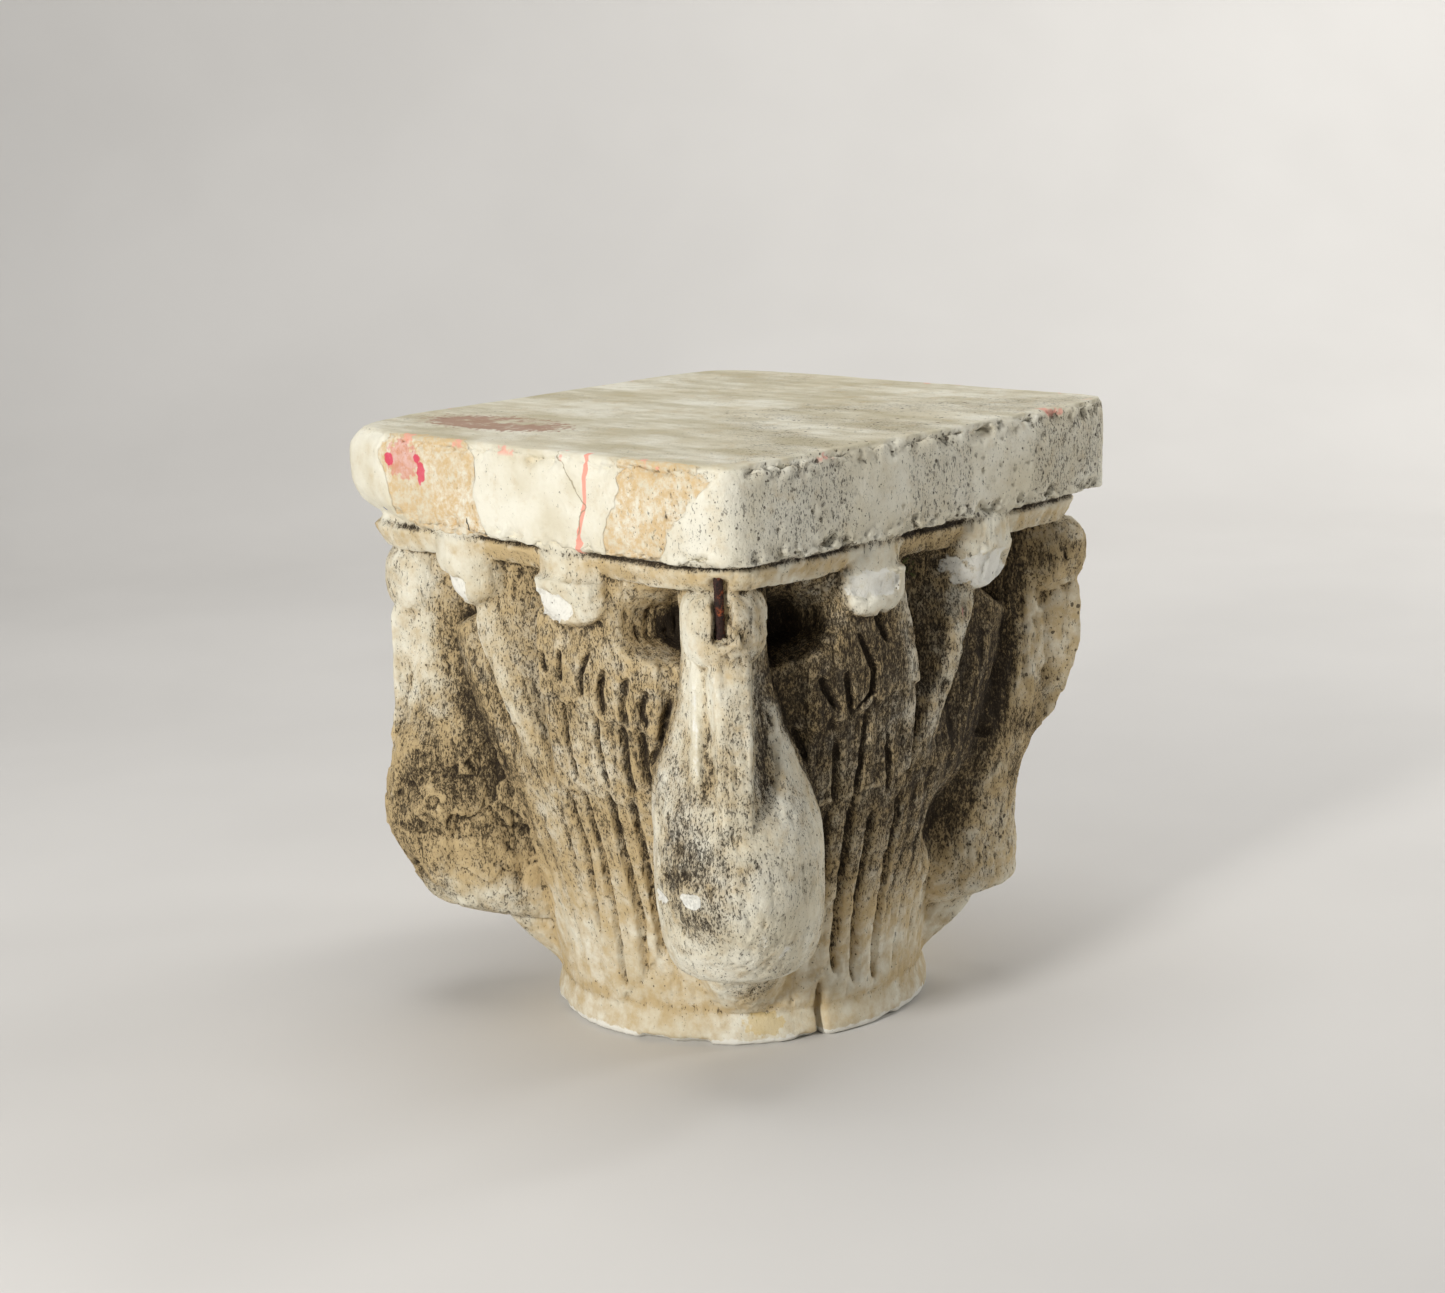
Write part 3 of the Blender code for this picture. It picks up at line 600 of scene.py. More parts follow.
# %%
# Chips and pits, each with azimuth, height, half width in degrees, half height and depth
CHIPS = (
    (7.5, 0.287, 7.0, 0.010, 0.0035),
    (73.0, 0.297, 6.5, 0.010, 0.0030),
    (-24.0, 0.287, 6.5, 0.010, 0.0035),
    (106.0, 0.290, 7.0, 0.012, 0.0030),
    (31.5, 0.122, 1.8, 0.004, 0.0015),
    (37.5, 0.127, 2.2, 0.005, 0.0015),
    (196.0, 0.290, 8.0, 0.012, 0.0040),
    (287.0, 0.296, 7.0, 0.012, 0.0040),
)
PITS = (
    (33.4, 0.137, 1.3, 0.006, 0.0040),
    (36.8, 0.141, 1.2, 0.005, 0.0040),
    (35.6, 0.107, 1.4, 0.007, 0.0045),
    (31.3, 0.122, 1.0, 0.004, 0.0035),
    (38.5, 0.129, 0.8, 0.004, 0.0030),
    (42.0, 0.212, 0.6, 0.004, 0.0025),
    (118.9, 0.176, 1.3, 0.005, 0.0050),
)

# The notch in the ring, and the wire that shows in the slot
NOTCH, NOTCH_DEPTH = 68.4, 0.016
rod_low, rod_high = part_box("iron_rod")
ROD_X, ROD_Y = (0.5 * (low + high) for low, high in zip(rod_low[:2], rod_high[:2]))
ROD_LOW, ROD_HIGH = rod_low[2], rod_high[2]
ROD_REACH = math.hypot(ROD_X, ROD_Y)
ROD_ACROSS = math.degrees(math.atan2(ROD_X, -ROD_Y)) - FRONT


def chips(azimuth, z, points):
    """How far inside a chip a point is, from 0 to 1, and how much the chips take off."""
    inside = np.zeros_like(azimuth)
    lost = np.zeros_like(azimuth)
    ragged = 0.45 * layered(points, 0.010, 21)
    for middle, height, width, tall, depth in CHIPS:
        off = np.hypot(from_bird(azimuth, middle) / width, (z - height) / tall)
        mask = ramp(1.0 - off + ragged, 0.0, 0.12)
        inside = np.maximum(inside, mask)
        lost = np.maximum(lost, depth * mask)
    return inside, lost


def slot(azimuth, z, reach, points):
    """The broken slot in which the wire shows: reach never passes its back there."""
    across = from_bird(azimuth, FRONT) - ROD_ACROSS
    lateral = reach * np.radians(across) - 0.0008
    half = 0.0052 + 0.0012 * layered(points, 0.008, 25)
    inside = ramp(half - np.abs(lateral), -0.0004, 0.0006)
    inside = inside * ramp(z, ROD_LOW + 0.006, ROD_LOW + 0.009)
    inside = inside * (1.0 - ramp(z, ROD_HIGH - 0.008, ROD_HIGH - 0.004))
    back = ROD_REACH - 0.0020
    return reach - inside * np.maximum(reach - back, 0.0)


def breaks(azimuth, z, reach):
    """The pits, the knob in its crater, the scoop on the right and the notch above the ring."""
    left, right = from_bird(azimuth, LEFT_BIRD), from_bird(azimuth, RIGHT_BIRD)
    for middle, height, width, tall, depth in PITS:
        off = np.hypot(from_bird(azimuth, middle) / width, (z - height) / tall)
        reach = reach - depth * bump(off, 0.0, 1.0)
    knob = np.hypot((left - 14.5) / 4.6, (z - 0.142) / 0.015)
    reach = reach + 0.009 * bump(knob, 0.0, 1.0) - 0.006 * bump(knob, 1.35, 0.5)
    reach = reach - 0.003 * bump(knob, 0.0, 0.4)
    reach = reach - 0.013 * bump(right, -24.0, 12.0) * bump(z, 0.125, 0.035)
    cleft = np.abs(from_bird(azimuth, NOTCH + 24.0 * (z - 0.02)))
    return reach - NOTCH_DEPTH * np.exp(-((cleft / 1.1) ** 2)) * (1.0 - ramp(z, 0.024, 0.042))


# %% [markdown]
# ## Carving the block
# Geometry Nodes makes the blank: a grid wrapped round the axis, closed at both ends. Then each
# of its points is pushed to the reach that the functions above give. A wire is a node's output
# that can be added and multiplied like a number, which keeps the trees short.

# %%
# Nodes, and wires between them
class Wire:
    """A node's output. Sums and products of wires and numbers make Math nodes."""

    def __init__(self, socket):
        self.socket = socket
        self.tree = socket.id_data

    def __add__(self, other):
        return math_node("ADD", self, other)

    def __radd__(self, other):
        return math_node("ADD", other, self)

    def __sub__(self, other):
        return math_node("SUBTRACT", self, other)

    def __rsub__(self, other):
        return math_node("SUBTRACT", other, self)

    def __mul__(self, other):
        return math_node("MULTIPLY", self, other)

    def __truediv__(self, other):
        return math_node("DIVIDE", self, other)


def add_node(tree, kind, inputs=(), **settings):
    """A node with its settings and inputs given, an input being a value or a wire."""
    node = tree.nodes.new(kind)
    for name, value in settings.items():
        setattr(node, name, value)
    for key, value in dict(inputs).items():
        if isinstance(value, Wire):
            tree.links.new(value.socket, node.inputs[key])
        else:
            node.inputs[key].default_value = value
    return node


def made(tree, kind, inputs=(), output=0, **settings):
    """The wire that comes out of a new node."""
    return Wire(add_node(tree, kind, inputs, **settings).outputs[output])


def math_node(operation, *values):
    """A Math node's wire, from values of which at least one is a wire."""
    tree = next(value.tree for value in values if isinstance(value, Wire))
    return made(tree, "ShaderNodeMath", enumerate(values), operation=operation)


def apart(place):
    """The x, y and z of a place."""
    return [Wire(output) for output in add_node(place.tree, "ShaderNodeSeparateXYZ", {0: place}).outputs]


def noise(place, scale, detail=3.0, rough=0.55, stretch=None):
    """A noise value that varies in space, squeezed along an axis where stretch says so."""
    if stretch is not None:
        place = made(place.tree, "ShaderNodeVectorMath", {0: place, 1: stretch}, operation="MULTIPLY")
    return made(place.tree, "ShaderNodeTexNoise", {
        "Vector": place, "Scale": scale, "Detail": detail, "Roughness": rough})


def node_group(kind, name, result, inputs):
    """An empty group with one result: its tree, a wire for each input, and where the result goes."""
    tree = bpy.data.node_groups.new(name, kind)
    out_type = "NodeSocketGeometry" if result == "Geometry" else "NodeSocketFloat"
    tree.interface.new_socket(result, in_out="OUTPUT", socket_type=out_type)
    for label, short_type in inputs.items():
        tree.interface.new_socket(label, in_out="INPUT", socket_type="NodeSocket" + short_type)
    given = tree.nodes.new("NodeGroupInput")
    end = tree.nodes.new("NodeGroupOutput")
    return tree, {label: Wire(given.outputs[label]) for label in inputs}, end.inputs[0]


def hand_out(mesh, material, end):
    """Make instances real, set the material and give back the tree."""
    whole = made(mesh.tree, "GeometryNodeRealizeInstances", {0: mesh})
    dressed = made(mesh.tree, "GeometryNodeSetMaterial", {"Geometry": whole, "Material": material})
    mesh.tree.links.new(dressed.socket, end)
    return mesh.tree


def grown(name, tree, values):
    """The mesh that a tree makes from named values, with no modifier left on it."""
    seed = bpy.data.objects.new(name, bpy.data.meshes.new(name))
    bpy.context.scene.collection.objects.link(seed)
    modifier = seed.modifiers.new(name, "NODES")
    modifier.node_group = tree
    for item in tree.interface.items_tree:
        if item.in_out == "INPUT" and item.name in values:
            modifier[item.identifier] = values[item.name]
    bpy.context.view_layer.update()
    mesh = bpy.data.meshes.new_from_object(seed.evaluated_get(bpy.context.evaluated_depsgraph_get()))
    bpy.data.objects.remove(seed)
    return mesh


# %%
# A blank drum in Geometry Nodes
def drum_tree():
    tree, given, end = node_group("GeometryNodeTree", "blank drum", "Geometry", {
        "Columns": "Int", "Rows": "Int", "Radius": "Float", "Height": "Float", "Cap": "Float",
        "Material": "Material"})
    grid = made(tree, "GeometryNodeMeshGrid", {
        "Size X": 1.0, "Size Y": 1.0, "Vertices X": given["Columns"], "Vertices Y": given["Rows"]})
    grid_x, grid_y, _ = apart(made(tree, "GeometryNodeInputPosition"))
    turn = (grid_x + 0.5) * (2.0 * math.pi)
    along = grid_y + 0.5
    cap = given["Cap"]
    share = math_node("MINIMUM", 1.0, math_node("MINIMUM", along / cap, (1.0 - along) / cap))
    reach = math_node("MAXIMUM", share, 0.0) * given["Radius"]
    rise = math_node("MAXIMUM", (along - cap) / (1.0 - cap * 2.0), 0.0)
    moved = made(tree, "ShaderNodeCombineXYZ", {
        0: math_node("SINE", turn) * reach,
        1: math_node("COSINE", turn) * (reach * -1.0),
        2: math_node("MINIMUM", 1.0, rise) * given["Height"]})
    wrapped = made(tree, "GeometryNodeSetPosition", {"Geometry": grid, "Position": moved})
    closed = made(tree, "GeometryNodeMergeByDistance", {"Geometry": wrapped, "Distance": 1e-6})
    return hand_out(closed, given["Material"], end)


plaster = bpy.data.materials.new("plaster_worn")
drum = grown("drum", drum_tree(), {
    "Columns": 1401, "Rows": 620, "Radius": 1.0, "Height": HEIGHT, "Cap": 0.06, "Material": plaster})
print("the blank has", len(drum.vertices), "points")


# %%
# Push every point of the blank to its reach
def places_of(mesh):
    places = np.empty(len(mesh.vertices) * 3)
    mesh.vertices.foreach_get("co", places)
    return places.reshape(-1, 3)


def put_places(mesh, places):
    mesh.vertices.foreach_set("co", np.ascontiguousarray(places, dtype=np.float32).ravel())
    mesh.update()


def azimuth_of(points):
    return np.degrees(np.arctan2(points[:, 0], -points[:, 1]))


def casting(azimuth, z):
    """How far the plaster reaches from the axis at an azimuth and a height."""
    v = (z - RING_HEIGHT) / CARVED_HEIGHT
    angle = np.radians(azimuth)
    plain = bell(azimuth, np.clip(v, 0.0, 1.0))
    points = np.stack([plain * np.sin(angle), -plain * np.cos(angle), z], axis=-1)
    relief = np.zeros_like(azimuth)
    for which in BIRDS:
        near = np.abs(from_bird(azimuth, which)) < 50.0
        across = from_bird(azimuth[near], which)
        carved, _ = wing(across, z[near], feather_strength(across, which))
        relief[near] = np.where(np.abs(across) < 45.0, carved, relief[near])
    knobs, band = tips(azimuth, z, points), moulding(azimuth, z, points)
    reach = bell(azimuth, v) + relief + knobs + ridges(azimuth, z)
    reach = reach - VALLEY_DEPTH * valleys(azimuth, z) - HEAD_HOLLOW * head_hollows(azimuth, z, points)
    for which in BIRDS:
        reach = join(reach, bird(azimuth, v, which), 0.0035)
    _, lost = chips(azimuth, z, points)
    reach = np.where((v > 0.0) & (v < 1.0), join(reach - lost, band, 0.0035), 0.0)
    reach = breaks(azimuth, z, reach)
    notch = NOTCH_DEPTH * np.exp(-(from_bird(azimuth, NOTCH) ** 2)) * (z < RING_HEIGHT)
    reach = np.maximum(reach, ring(azimuth, z, points) - notch)
    reach = np.maximum(reach, slab(azimuth, z, points))
    upper = np.maximum(band, (bell(azimuth, 1.0) + knobs) * (knobs > 0.0))
    reach = np.maximum(reach, np.where(v >= 1.0, upper, 0.0))
    return slot(azimuth, z, reach, points)


blank = places_of(drum)
share = np.hypot(blank[:, 0], blank[:, 1])
azimuth = azimuth_of(blank)
reach = share * casting(azimuth, blank[:, 2])
angle = np.radians(azimuth)
put_places(drum, np.stack([reach * np.sin(angle), -reach * np.cos(angle), blank[:, 2]], axis=-1))
print("the carving reaches", round(float(reach.max()), 4), "m from the axis")

# %% [markdown]
# ## Weathering
# The carved drum is remade from small cubes, so the plaster can be eaten in any direction.
# Every point then moves along its normal: grain that runs down the stone, broken facets on the
# two damaged birds, and pores on the slab's right face. Last, faces are thinned where the
# surface is flat.

# %%
# Where on the capital each point is
def reworked(mesh, kind, **settings):
    """The mesh after one modifier."""
    holder = bpy.data.objects.new("holder", mesh)
    bpy.context.scene.collection.objects.link(holder)
    modifier = holder.modifiers.new(kind, kind)
    for name, value in settings.items():
        setattr(modifier, name, value)
    bpy.context.view_layer.update()
    result = bpy.data.meshes.new_from_object(holder.evaluated_get(bpy.context.evaluated_depsgraph_get()))
    bpy.data.objects.remove(holder)
    return result


def normals_of(mesh):
    normals = np.empty(len(mesh.vertices) * 3, dtype=np.float32)
    mesh.vertex_normals.foreach_get("vector", normals)
    return normals.reshape(-1, 3).astype(float)


def zones(points):
    """Masks from 0 to 1 that shape and paint both use."""
    azimuth, z = azimuth_of(points), points[:, 2]
    left, right, face = (from_bird(azimuth, middle) for middle in (LEFT_BIRD, RIGHT_BIRD, 90.0))
    on_slab = ramp(z, HEIGHT - SLAB_THICKNESS - 0.001, HEIGHT - SLAB_THICKNESS + 0.001)
    carved = (1.0 - on_slab) * ramp(z, 0.018, 0.026)
    broken = bump(left, 12.0, 24.0) * ramp(z, 0.075, 0.095) * (1.0 - ramp(z, 0.165, 0.200))
    head = bump(from_bird(azimuth, FRONT), 1.0, 9.0) * bump(z, 0.285, 0.034) * (1.0 - on_slab)
    eaten = bump(right, -2.0, 34.0) * ramp(z, 0.060, 0.085) * (1.0 - ramp(z, 0.285, 0.305))
    right_face = on_slab * ramp(face, -47.0, -35.0) * (1.0 - ramp(face, 43.0, 50.0))
    x, most = points[:, 0], np.abs(points[:, :2]).max(axis=1)
    to_edge = 0.5 * SLAB_SIDE - most + np.minimum(HEIGHT - z, np.abs(z - HEIGHT + SLAB_THICKNESS))
    arris = on_slab * (1.0 - ramp(to_edge, 0.005, 0.014))
    lean = 0.25 * (z - 0.35) + 0.009 * layered(points, 0.018, 61)
    first = np.minimum(ramp(x + lean, -0.121, -0.113), 1.0 - ramp(x + lean, -0.036, -0.030))
    second = np.minimum(ramp(x - lean, 0.080, 0.088), 1.0 - ramp(x - 4.0 * lean, 0.125, 0.165))
    ochre = np.maximum(first, second) * ramp(z, 0.318, 0.324) * (1.0 - ramp(z - lean, 0.372, 0.380))
    ochre = ochre * on_slab * ramp(-points[:, 1], 0.168, 0.174)
    return {"slab": on_slab, "carved": carved, "broken": np.maximum(broken, 0.55 * head),
            "eaten": eaten, "right face": right_face, "arris": arris, "ochre": ochre}


# %%
# Remake, weather and thin the mesh
def broken_plaster(points):
    """Broken flats, softened by lumps."""
    return 0.0032 * facets(points, 0.021, 3)[0] + 0.0034 * layered(points, 0.014, 37)


def eaten_plaster(points):
    """Lumps, with pits that run down the surface."""
    pits = np.clip(layered(points, 0.006, 41, tall=1.8), 0.1, 1.0) - 0.1
    return 0.0024 * layered(points, 0.016, 43, tall=1.6) - 0.0030 * pits


def chipped(points):
    """Flat chips of two sizes, which only take away."""
    large, small = facets(points, 0.013, 12)[0], facets(points, 0.006, 14)[0]
    return -0.0060 * np.clip(large + 0.15, 0.0, 1.0) - 0.0026 * np.clip(small + 0.1, 0.0, 1.0)


def air_holes(points):
    """Round holes that bubbles left in the plaster."""
    sparse = ramp(lumps(points, 0.02, 45), -0.2, 0.5)
    return -0.0024 * sparse * (1.0 - ramp(facets(points, 0.0085, 8)[1], 0.08, 0.24))


VOXEL = 0.0013
MOST_TRIANGLES = 194000.0
remade = reworked(drum, "REMESH", mode="VOXEL", voxel_size=VOXEL)
points, normals = places_of(remade), normals_of(remade)
where = zones(points)

grain = 0.00055 * layered(points, 0.0050, 31)
wobble = 0.0012 * layered(points, 0.034, 33)
streaks = np.clip(layered(points, 0.0028, 35, tall=5.0), 0.0, 1.0)
shift = grain + wobble - 0.0024 * streaks * where["carved"]
for zone, work in (("broken", broken_plaster), ("eaten", eaten_plaster), ("right face", air_holes),
                   ("arris", chipped)):
    shift += only(where[zone], points, work)
shift -= 0.0012 * ramp(where["ochre"], 0.3, 0.7)
shift = np.where(where["slab"] > 0.5, np.minimum(shift - 0.0008, 0.0), shift)
flat_ends = (np.abs(normals[:, 2]) > 0.9) & ((points[:, 2] < 0.004) | (points[:, 2] > HEIGHT - 0.004))
shift = np.where(flat_ends, np.minimum(grain, 0.0), shift)
put_places(remade, points + normals * shift[:, None])

remade.calc_loop_triangles()
full_count = len(remade.loop_triangles)
worked = reworked(remade, "DECIMATE", ratio=MOST_TRIANGLES / full_count)
put_places(worked, np.clip(places_of(worked), np.array(cad_low), np.array(cad_high)))
worked.materials.clear()
worked.materials.append(plaster)
worked.shade_smooth()
worked.calc_loop_triangles()
print("from", full_count, "to", len(worked.loop_triangles), "triangles")

# %% [markdown]
# ## What the dirt and the painted shade cling to
# Dirt gathers in hollows and rubs off edges, and the darkening of hollows also paints their shade.
# Smoothing the mesh a few times and seeing which way each point moved tells the two apart, at a
# fine and at a broad scale.

# %%
# Hollows and edges of the finished mesh
def smoothed(points, ends, rounds):
    """The points after each has moved to the middle of its neighbours a few times."""
    count = np.bincount(ends.ravel(), minlength=len(points))[:, None]
    for _ in range(rounds):
        total = np.zeros_like(points)
        for axis in range(3):
            for here, there in ((0, 1), (1, 0)):
                pull = points[ends[:, there], axis]
                total[:, axis] += np.bincount(ends[:, here], pull, minlength=len(points))
        points = 0.3 * points + 0.7 * total / count
    return points


points, normals = places_of(worked), normals_of(worked)
ends = np.empty(len(worked.edges) * 2, dtype=np.int32)
worked.edges.foreach_get("vertices", ends)
ends = ends.reshape(-1, 2)
fine, broad = (((smoothed(points, ends, rounds) - points) * normals).sum(axis=1) for rounds in (3, 40))
print("fine hollows go down to", round(float(fine.max()) * 1000, 2), "mm")

# %% [markdown]
# ## Where the colours lie
# Five masks are kept on the mesh's points: soot with painted shade, tan staining that is partly
# painted shade in broad hollows, ochre patches, fresh white plaster, and pores. The material
# reads them and adds the fine speckle.

# %%
# Zones, and places that were rubbed pale
where = zones(points)
on_slab, carved, broken, eaten, right_face = (
    where[name] for name in ("slab", "carved", "broken", "eaten", "right face"))
azimuth, z = azimuth_of(points), points[:, 2]
v = (z - RING_HEIGHT) / CARVED_HEIGHT
front, left, right, face = (from_bird(azimuth, middle) for middle in (FRONT, LEFT_BIRD, RIGHT_BIRD, 90.0))
across = from_bird(azimuth, 90.0 * np.floor(azimuth / 90.0) + 45.0)
reach = np.hypot(points[:, 0], points[:, 1])
patchy = layered(points, 0.035, 51)
mottled = layered(points, 0.012, 53)

_, in_cut = wing(across, z, 1.0)
ground = bell(azimuth, np.clip(v, 0.0, 1.0))
on_wing = ramp(0.012 - (reach - ground), -0.006, 0.004) * carved
standing = (1.0 - on_wing) * carved
sunk = ramp(ground - reach, 0.006, 0.026) * ramp(z, 0.245, 0.262) * carved

high = ramp(z, 0.150, 0.215) * (1.0 - ramp(z, 0.300, 0.310))
broad_top = 1.0 + 1.2 * ramp(z, 0.215, 0.290)
rubbed = np.clip(0.70 + 0.45 * patchy + 0.60 * mottled, 0.0, 1.0)
neck_ridge = bump(front, -6.3, 1.6) * ramp(z, 0.190, 0.205) * (1.0 - ramp(z, 0.250, 0.265))
belly = bump(front, 6.0, 17.0) * bump(z, 0.125, 0.075)
belly = belly + 0.7 * bump(front, 0.0, 20.0) * bump(z, 0.085, 0.035)
pale = np.maximum.reduce([
    0.55 * high * rubbed * bump(valley_edge(azimuth, z, 0.0, 0), -4.0, 5.0 * broad_top),
    0.72 * high * rubbed * bump(valley_edge(azimuth, z, 90.0, 1), 3.8, 5.2 * broad_top),
    0.62 * high * rubbed * bump(valley_edge(azimuth, z, 90.0, 0), -1.6, 3.6),
    0.60 * ramp(tips(azimuth, z, points), 0.002, 0.010),
    neck_ridge,
    belly * standing * (0.58 + 0.45 * patchy + 0.55 * mottled),
    0.30 * bump(left, -4.0, 16.0) * bump(z, 0.235, 0.045) * standing])
pale = np.clip(pale + 0.22 * mottled * (pale > 0.05), 0.0, 1.0)
print("rubbed pale:", round(float(pale.mean()), 3), "of the points")

# %%
# Soot and painted shade: soot most on the upper wings, soot and painted shade in hollows and under the
# slab
# Soot on the wings, with painted shade added on the wings from the front bird's right side round to the
# back, which face away from the key lamp
wing_soot_and_shade = 0.25 + 0.20 * bump(z, 0.215, 0.125) + 0.26 * ramp(front, -4.0, 10.0) * ramp(z, 0.05, 0.10)
# The hollows beside the heads darken, most in their lower part: soot and painted shade
low_in_hollow = 1.0 - ramp(z, 0.268, 0.288)
in_hollow = 0.34 + (0.12 + 0.80 * low_in_hollow) * ramp(ground - reach, 0.010, 0.024)
# The V hollows darken, more on the right and back faces: soot, and painted shade in the recess and on the
# sides away from the key lamp
valley = ramp(valleys(azimuth, z), 0.45, 0.95) * (0.35 + 0.35 * ramp(face, -30.0, -10.0))
soot_and_shade = np.maximum.reduce([
    on_wing * (wing_soot_and_shade * ramp(z, 0.030, 0.13) + 0.12), in_hollow * sunk, valley * carved])
# Cuts and fine and broad hollows darken, partly soot and partly painted shade in the creases; what stands
# out is rubbed paler
soot_and_shade += 0.14 * ramp(in_cut, 0.0010, 0.0045) * on_wing
soot_and_shade += 0.26 * ramp(fine, 0.0002, 0.0012) * (1.0 - 0.6 * on_slab)
soot_and_shade += 0.30 * ramp(broad, 0.0012, 0.0065) * carved
soot_and_shade -= 0.22 * ramp(-fine, 0.0002, 0.0010)

# Soot on what stands out, and a painted shadow beside the bill
left_dark = bump(left, 17.0, 15.0) * bump(z, 0.165, 0.075)
right_dark = bump(right, -14.0, 24.0) * bump(z, 0.160, 0.100)
# A painted shadow down the right side of the front bird's bill
bill_side = bump(front, 4.6, 2.4) * ramp(z, 0.168, 0.190) * (1.0 - ramp(z, 0.255, 0.270))
soot_and_shade += standing * (0.36 + 0.16 * patchy + 0.18 * mottled + 0.45 * bill_side)
soot_and_shade += standing * 0.20 * bump(left, 0.0, 40.0) * (1.0 - ramp(z, 0.10, 0.18))
soot_and_shade += standing * 0.10 * bump(right, -5.0, 40.0) * (1.0 - ramp(z, 0.06, 0.14))
soot_and_shade += standing * 0.22 * bump(front, -7.0, 12.0) * bump(z, 0.150, 0.090)
soot_and_shade += 0.26 * left_dark + 0.10 * right_dark + 0.04 * eaten + 0.04 * broken
soot_and_shade += 0.16 * broken * (z > 0.24) + 0.16 * patchy * carved

# Soot on the slab, painted shade on its right face and a painted shadow under it, then what
# the rubbing took away
# Here and in the next line the slab's right face darkens: partly dirt, partly painted shade on the side
# away from the key lamp
soot_and_shade += (0.14 + 0.04 * patchy + 0.10 * mottled) * on_slab + 0.15 * right_face + 0.07 * (z > 0.376)
soot_and_shade += 0.15 * on_slab * ramp(points[:, 0], 0.06, 0.15) * (z < 0.377)
# A dark band just under the slab's edge: a painted shadow
soot_and_shade += 0.5 * bump(z, HEIGHT - SLAB_THICKNESS - 0.0015, 0.004) * (1.0 - bump(left, 0.0, 12.0))
soot_and_shade *= (1.0 - 0.35 * bump(z, 0.313, 0.007)) * (1.0 - 0.64 * pale)
soot_and_shade += 0.12 * (1.0 - ramp(z, 0.020, 0.030))
belly_dust = bump(front, 3.0, 24.0) * bump(z, 0.120, 0.090) * standing
soot_and_shade += belly_dust * (0.15 + 0.26 * mottled + 0.10 * patchy)
soot_and_shade -= 0.12 * ramp(-points[:, 0], 0.10, 0.125) * on_slab * (z < 0.374)

# %%
# Tan, fresh plaster and pores, and the masks on the points
tan = on_wing * (0.50 + 0.20 * ramp(z, 0.05, 0.12)) + broken * 0.45 + eaten * 0.35
# Tan in broad hollows is partly a stain and partly painted shade
tan += 0.36 * standing + 0.30 * ramp(broad, 0.0, 0.004) + 0.30 * left_dark + 0.34 * patchy * carved
tan += 0.25 * bump(left, 8.0, 30.0) * bump(z, 0.14, 0.08)
tan += (0.50 + 0.25 * patchy) * (1.0 - ramp(z, 0.018, 0.030)) * (1.0 - 0.6 * bump(front, 2.0, 18.0))
tan += (0.10 + 0.22 * patchy) * on_slab + 0.30 * bump(z, 0.313, 0.009)
tan *= 1.0 - 0.75 * pale

in_chip, _ = chips(azimuth, z, points)
fresh = np.maximum.reduce([
    in_chip * (0.86 - 0.22 * ramp(front, 5.0, 15.0)),
    0.42 * ramp(pale, 0.6, 1.0) + 0.10 * mottled,
    0.9 * (z < 0.004) * ramp(-broad, 0.0005, 0.002)])
pores = 0.80 * right_face + 0.50 * eaten + 0.45 * carved
pores += 0.35 * on_slab * ramp(points[:, 0], 0.05, 0.13) * (z < 0.377)

MASKS = {"soot_and_shade": soot_and_shade, "tan": tan, "ochre": where["ochre"], "fresh": fresh, "pores": pores}
for name, values in MASKS.items():
    values = np.clip(values, 0.0, 1.0)
    attribute = worked.attributes.new(name, "FLOAT", "POINT")
    attribute.data.foreach_set("value", values.astype(np.float32))
    print(name, "covers", round(float(values.mean()), 3), "of the points")

# %% [markdown]
# ## Shader groups
# Effects that are used more than once are groups. Each one gives back only a mask, and the
# surface shader stays in the material.

# %%
# Ranges, blends and groups for masks
def between(value, low, high, first=0.0, last=1.0):
    """First below low, last above high and a smooth S between."""
    return made(value.tree, "ShaderNodeMapRange", {0: value, 1: low, 2: high, 3: first, 4: last},
                interpolation_type="SMOOTHSTEP")


def blend(share, one, other):
    """A mix of two colours."""
    node = add_node(share.tree, "ShaderNodeMix", {0: share}, data_type="RGBA")
    for index, colour in ((6, one), (7, other)):
        if isinstance(colour, Wire):
            share.tree.links.new(colour.socket, node.inputs[index])
        else:
            node.inputs[index].default_value = (*colour, 1.0)
    return Wire(node.outputs[2])


def linear(red, green, blue):
    """A colour as it looks on a screen, from 0 to 255, as the linear values that shaders take."""
    return tuple(
        value / 255.0 / 12.92 if value <= 10 else ((value / 255.0 + 0.055) / 1.055) ** 2.4
        for value in (red, green, blue))


def ragged_group():
    """A soft mask with its edge made ragged."""
    tree, given, end = node_group("ShaderNodeTree", "ragged edge", "Mask", {
        "Place": "Vector", "Mask": "Float", "Scale": "Float", "Raggedness": "Float", "Softness": "Float"})
    wave = noise(given["Place"], given["Scale"], 4.0, 0.65)
    moved = given["Mask"] + (wave - 0.5) * given["Raggedness"]
    tree.links.new(between(moved, 0.5 - given["Softness"], 0.5 + given["Softness"]).socket, end)
    return tree


def speck_group():
    """Dark specks that cover more where the mask is higher, drawn out upwards."""
    tree, given, end = node_group("ShaderNodeTree", "specks", "Mask", {
        "Place": "Vector", "Amount": "Float", "Scale": "Float"})
    small = noise(given["Place"], given["Scale"], 3.0, 0.7, (1.0, 1.0, 0.45))
    level = 0.70 - given["Amount"] * 0.30
    tree.links.new(between(small, level, level + 0.06).socket, end)
    return tree


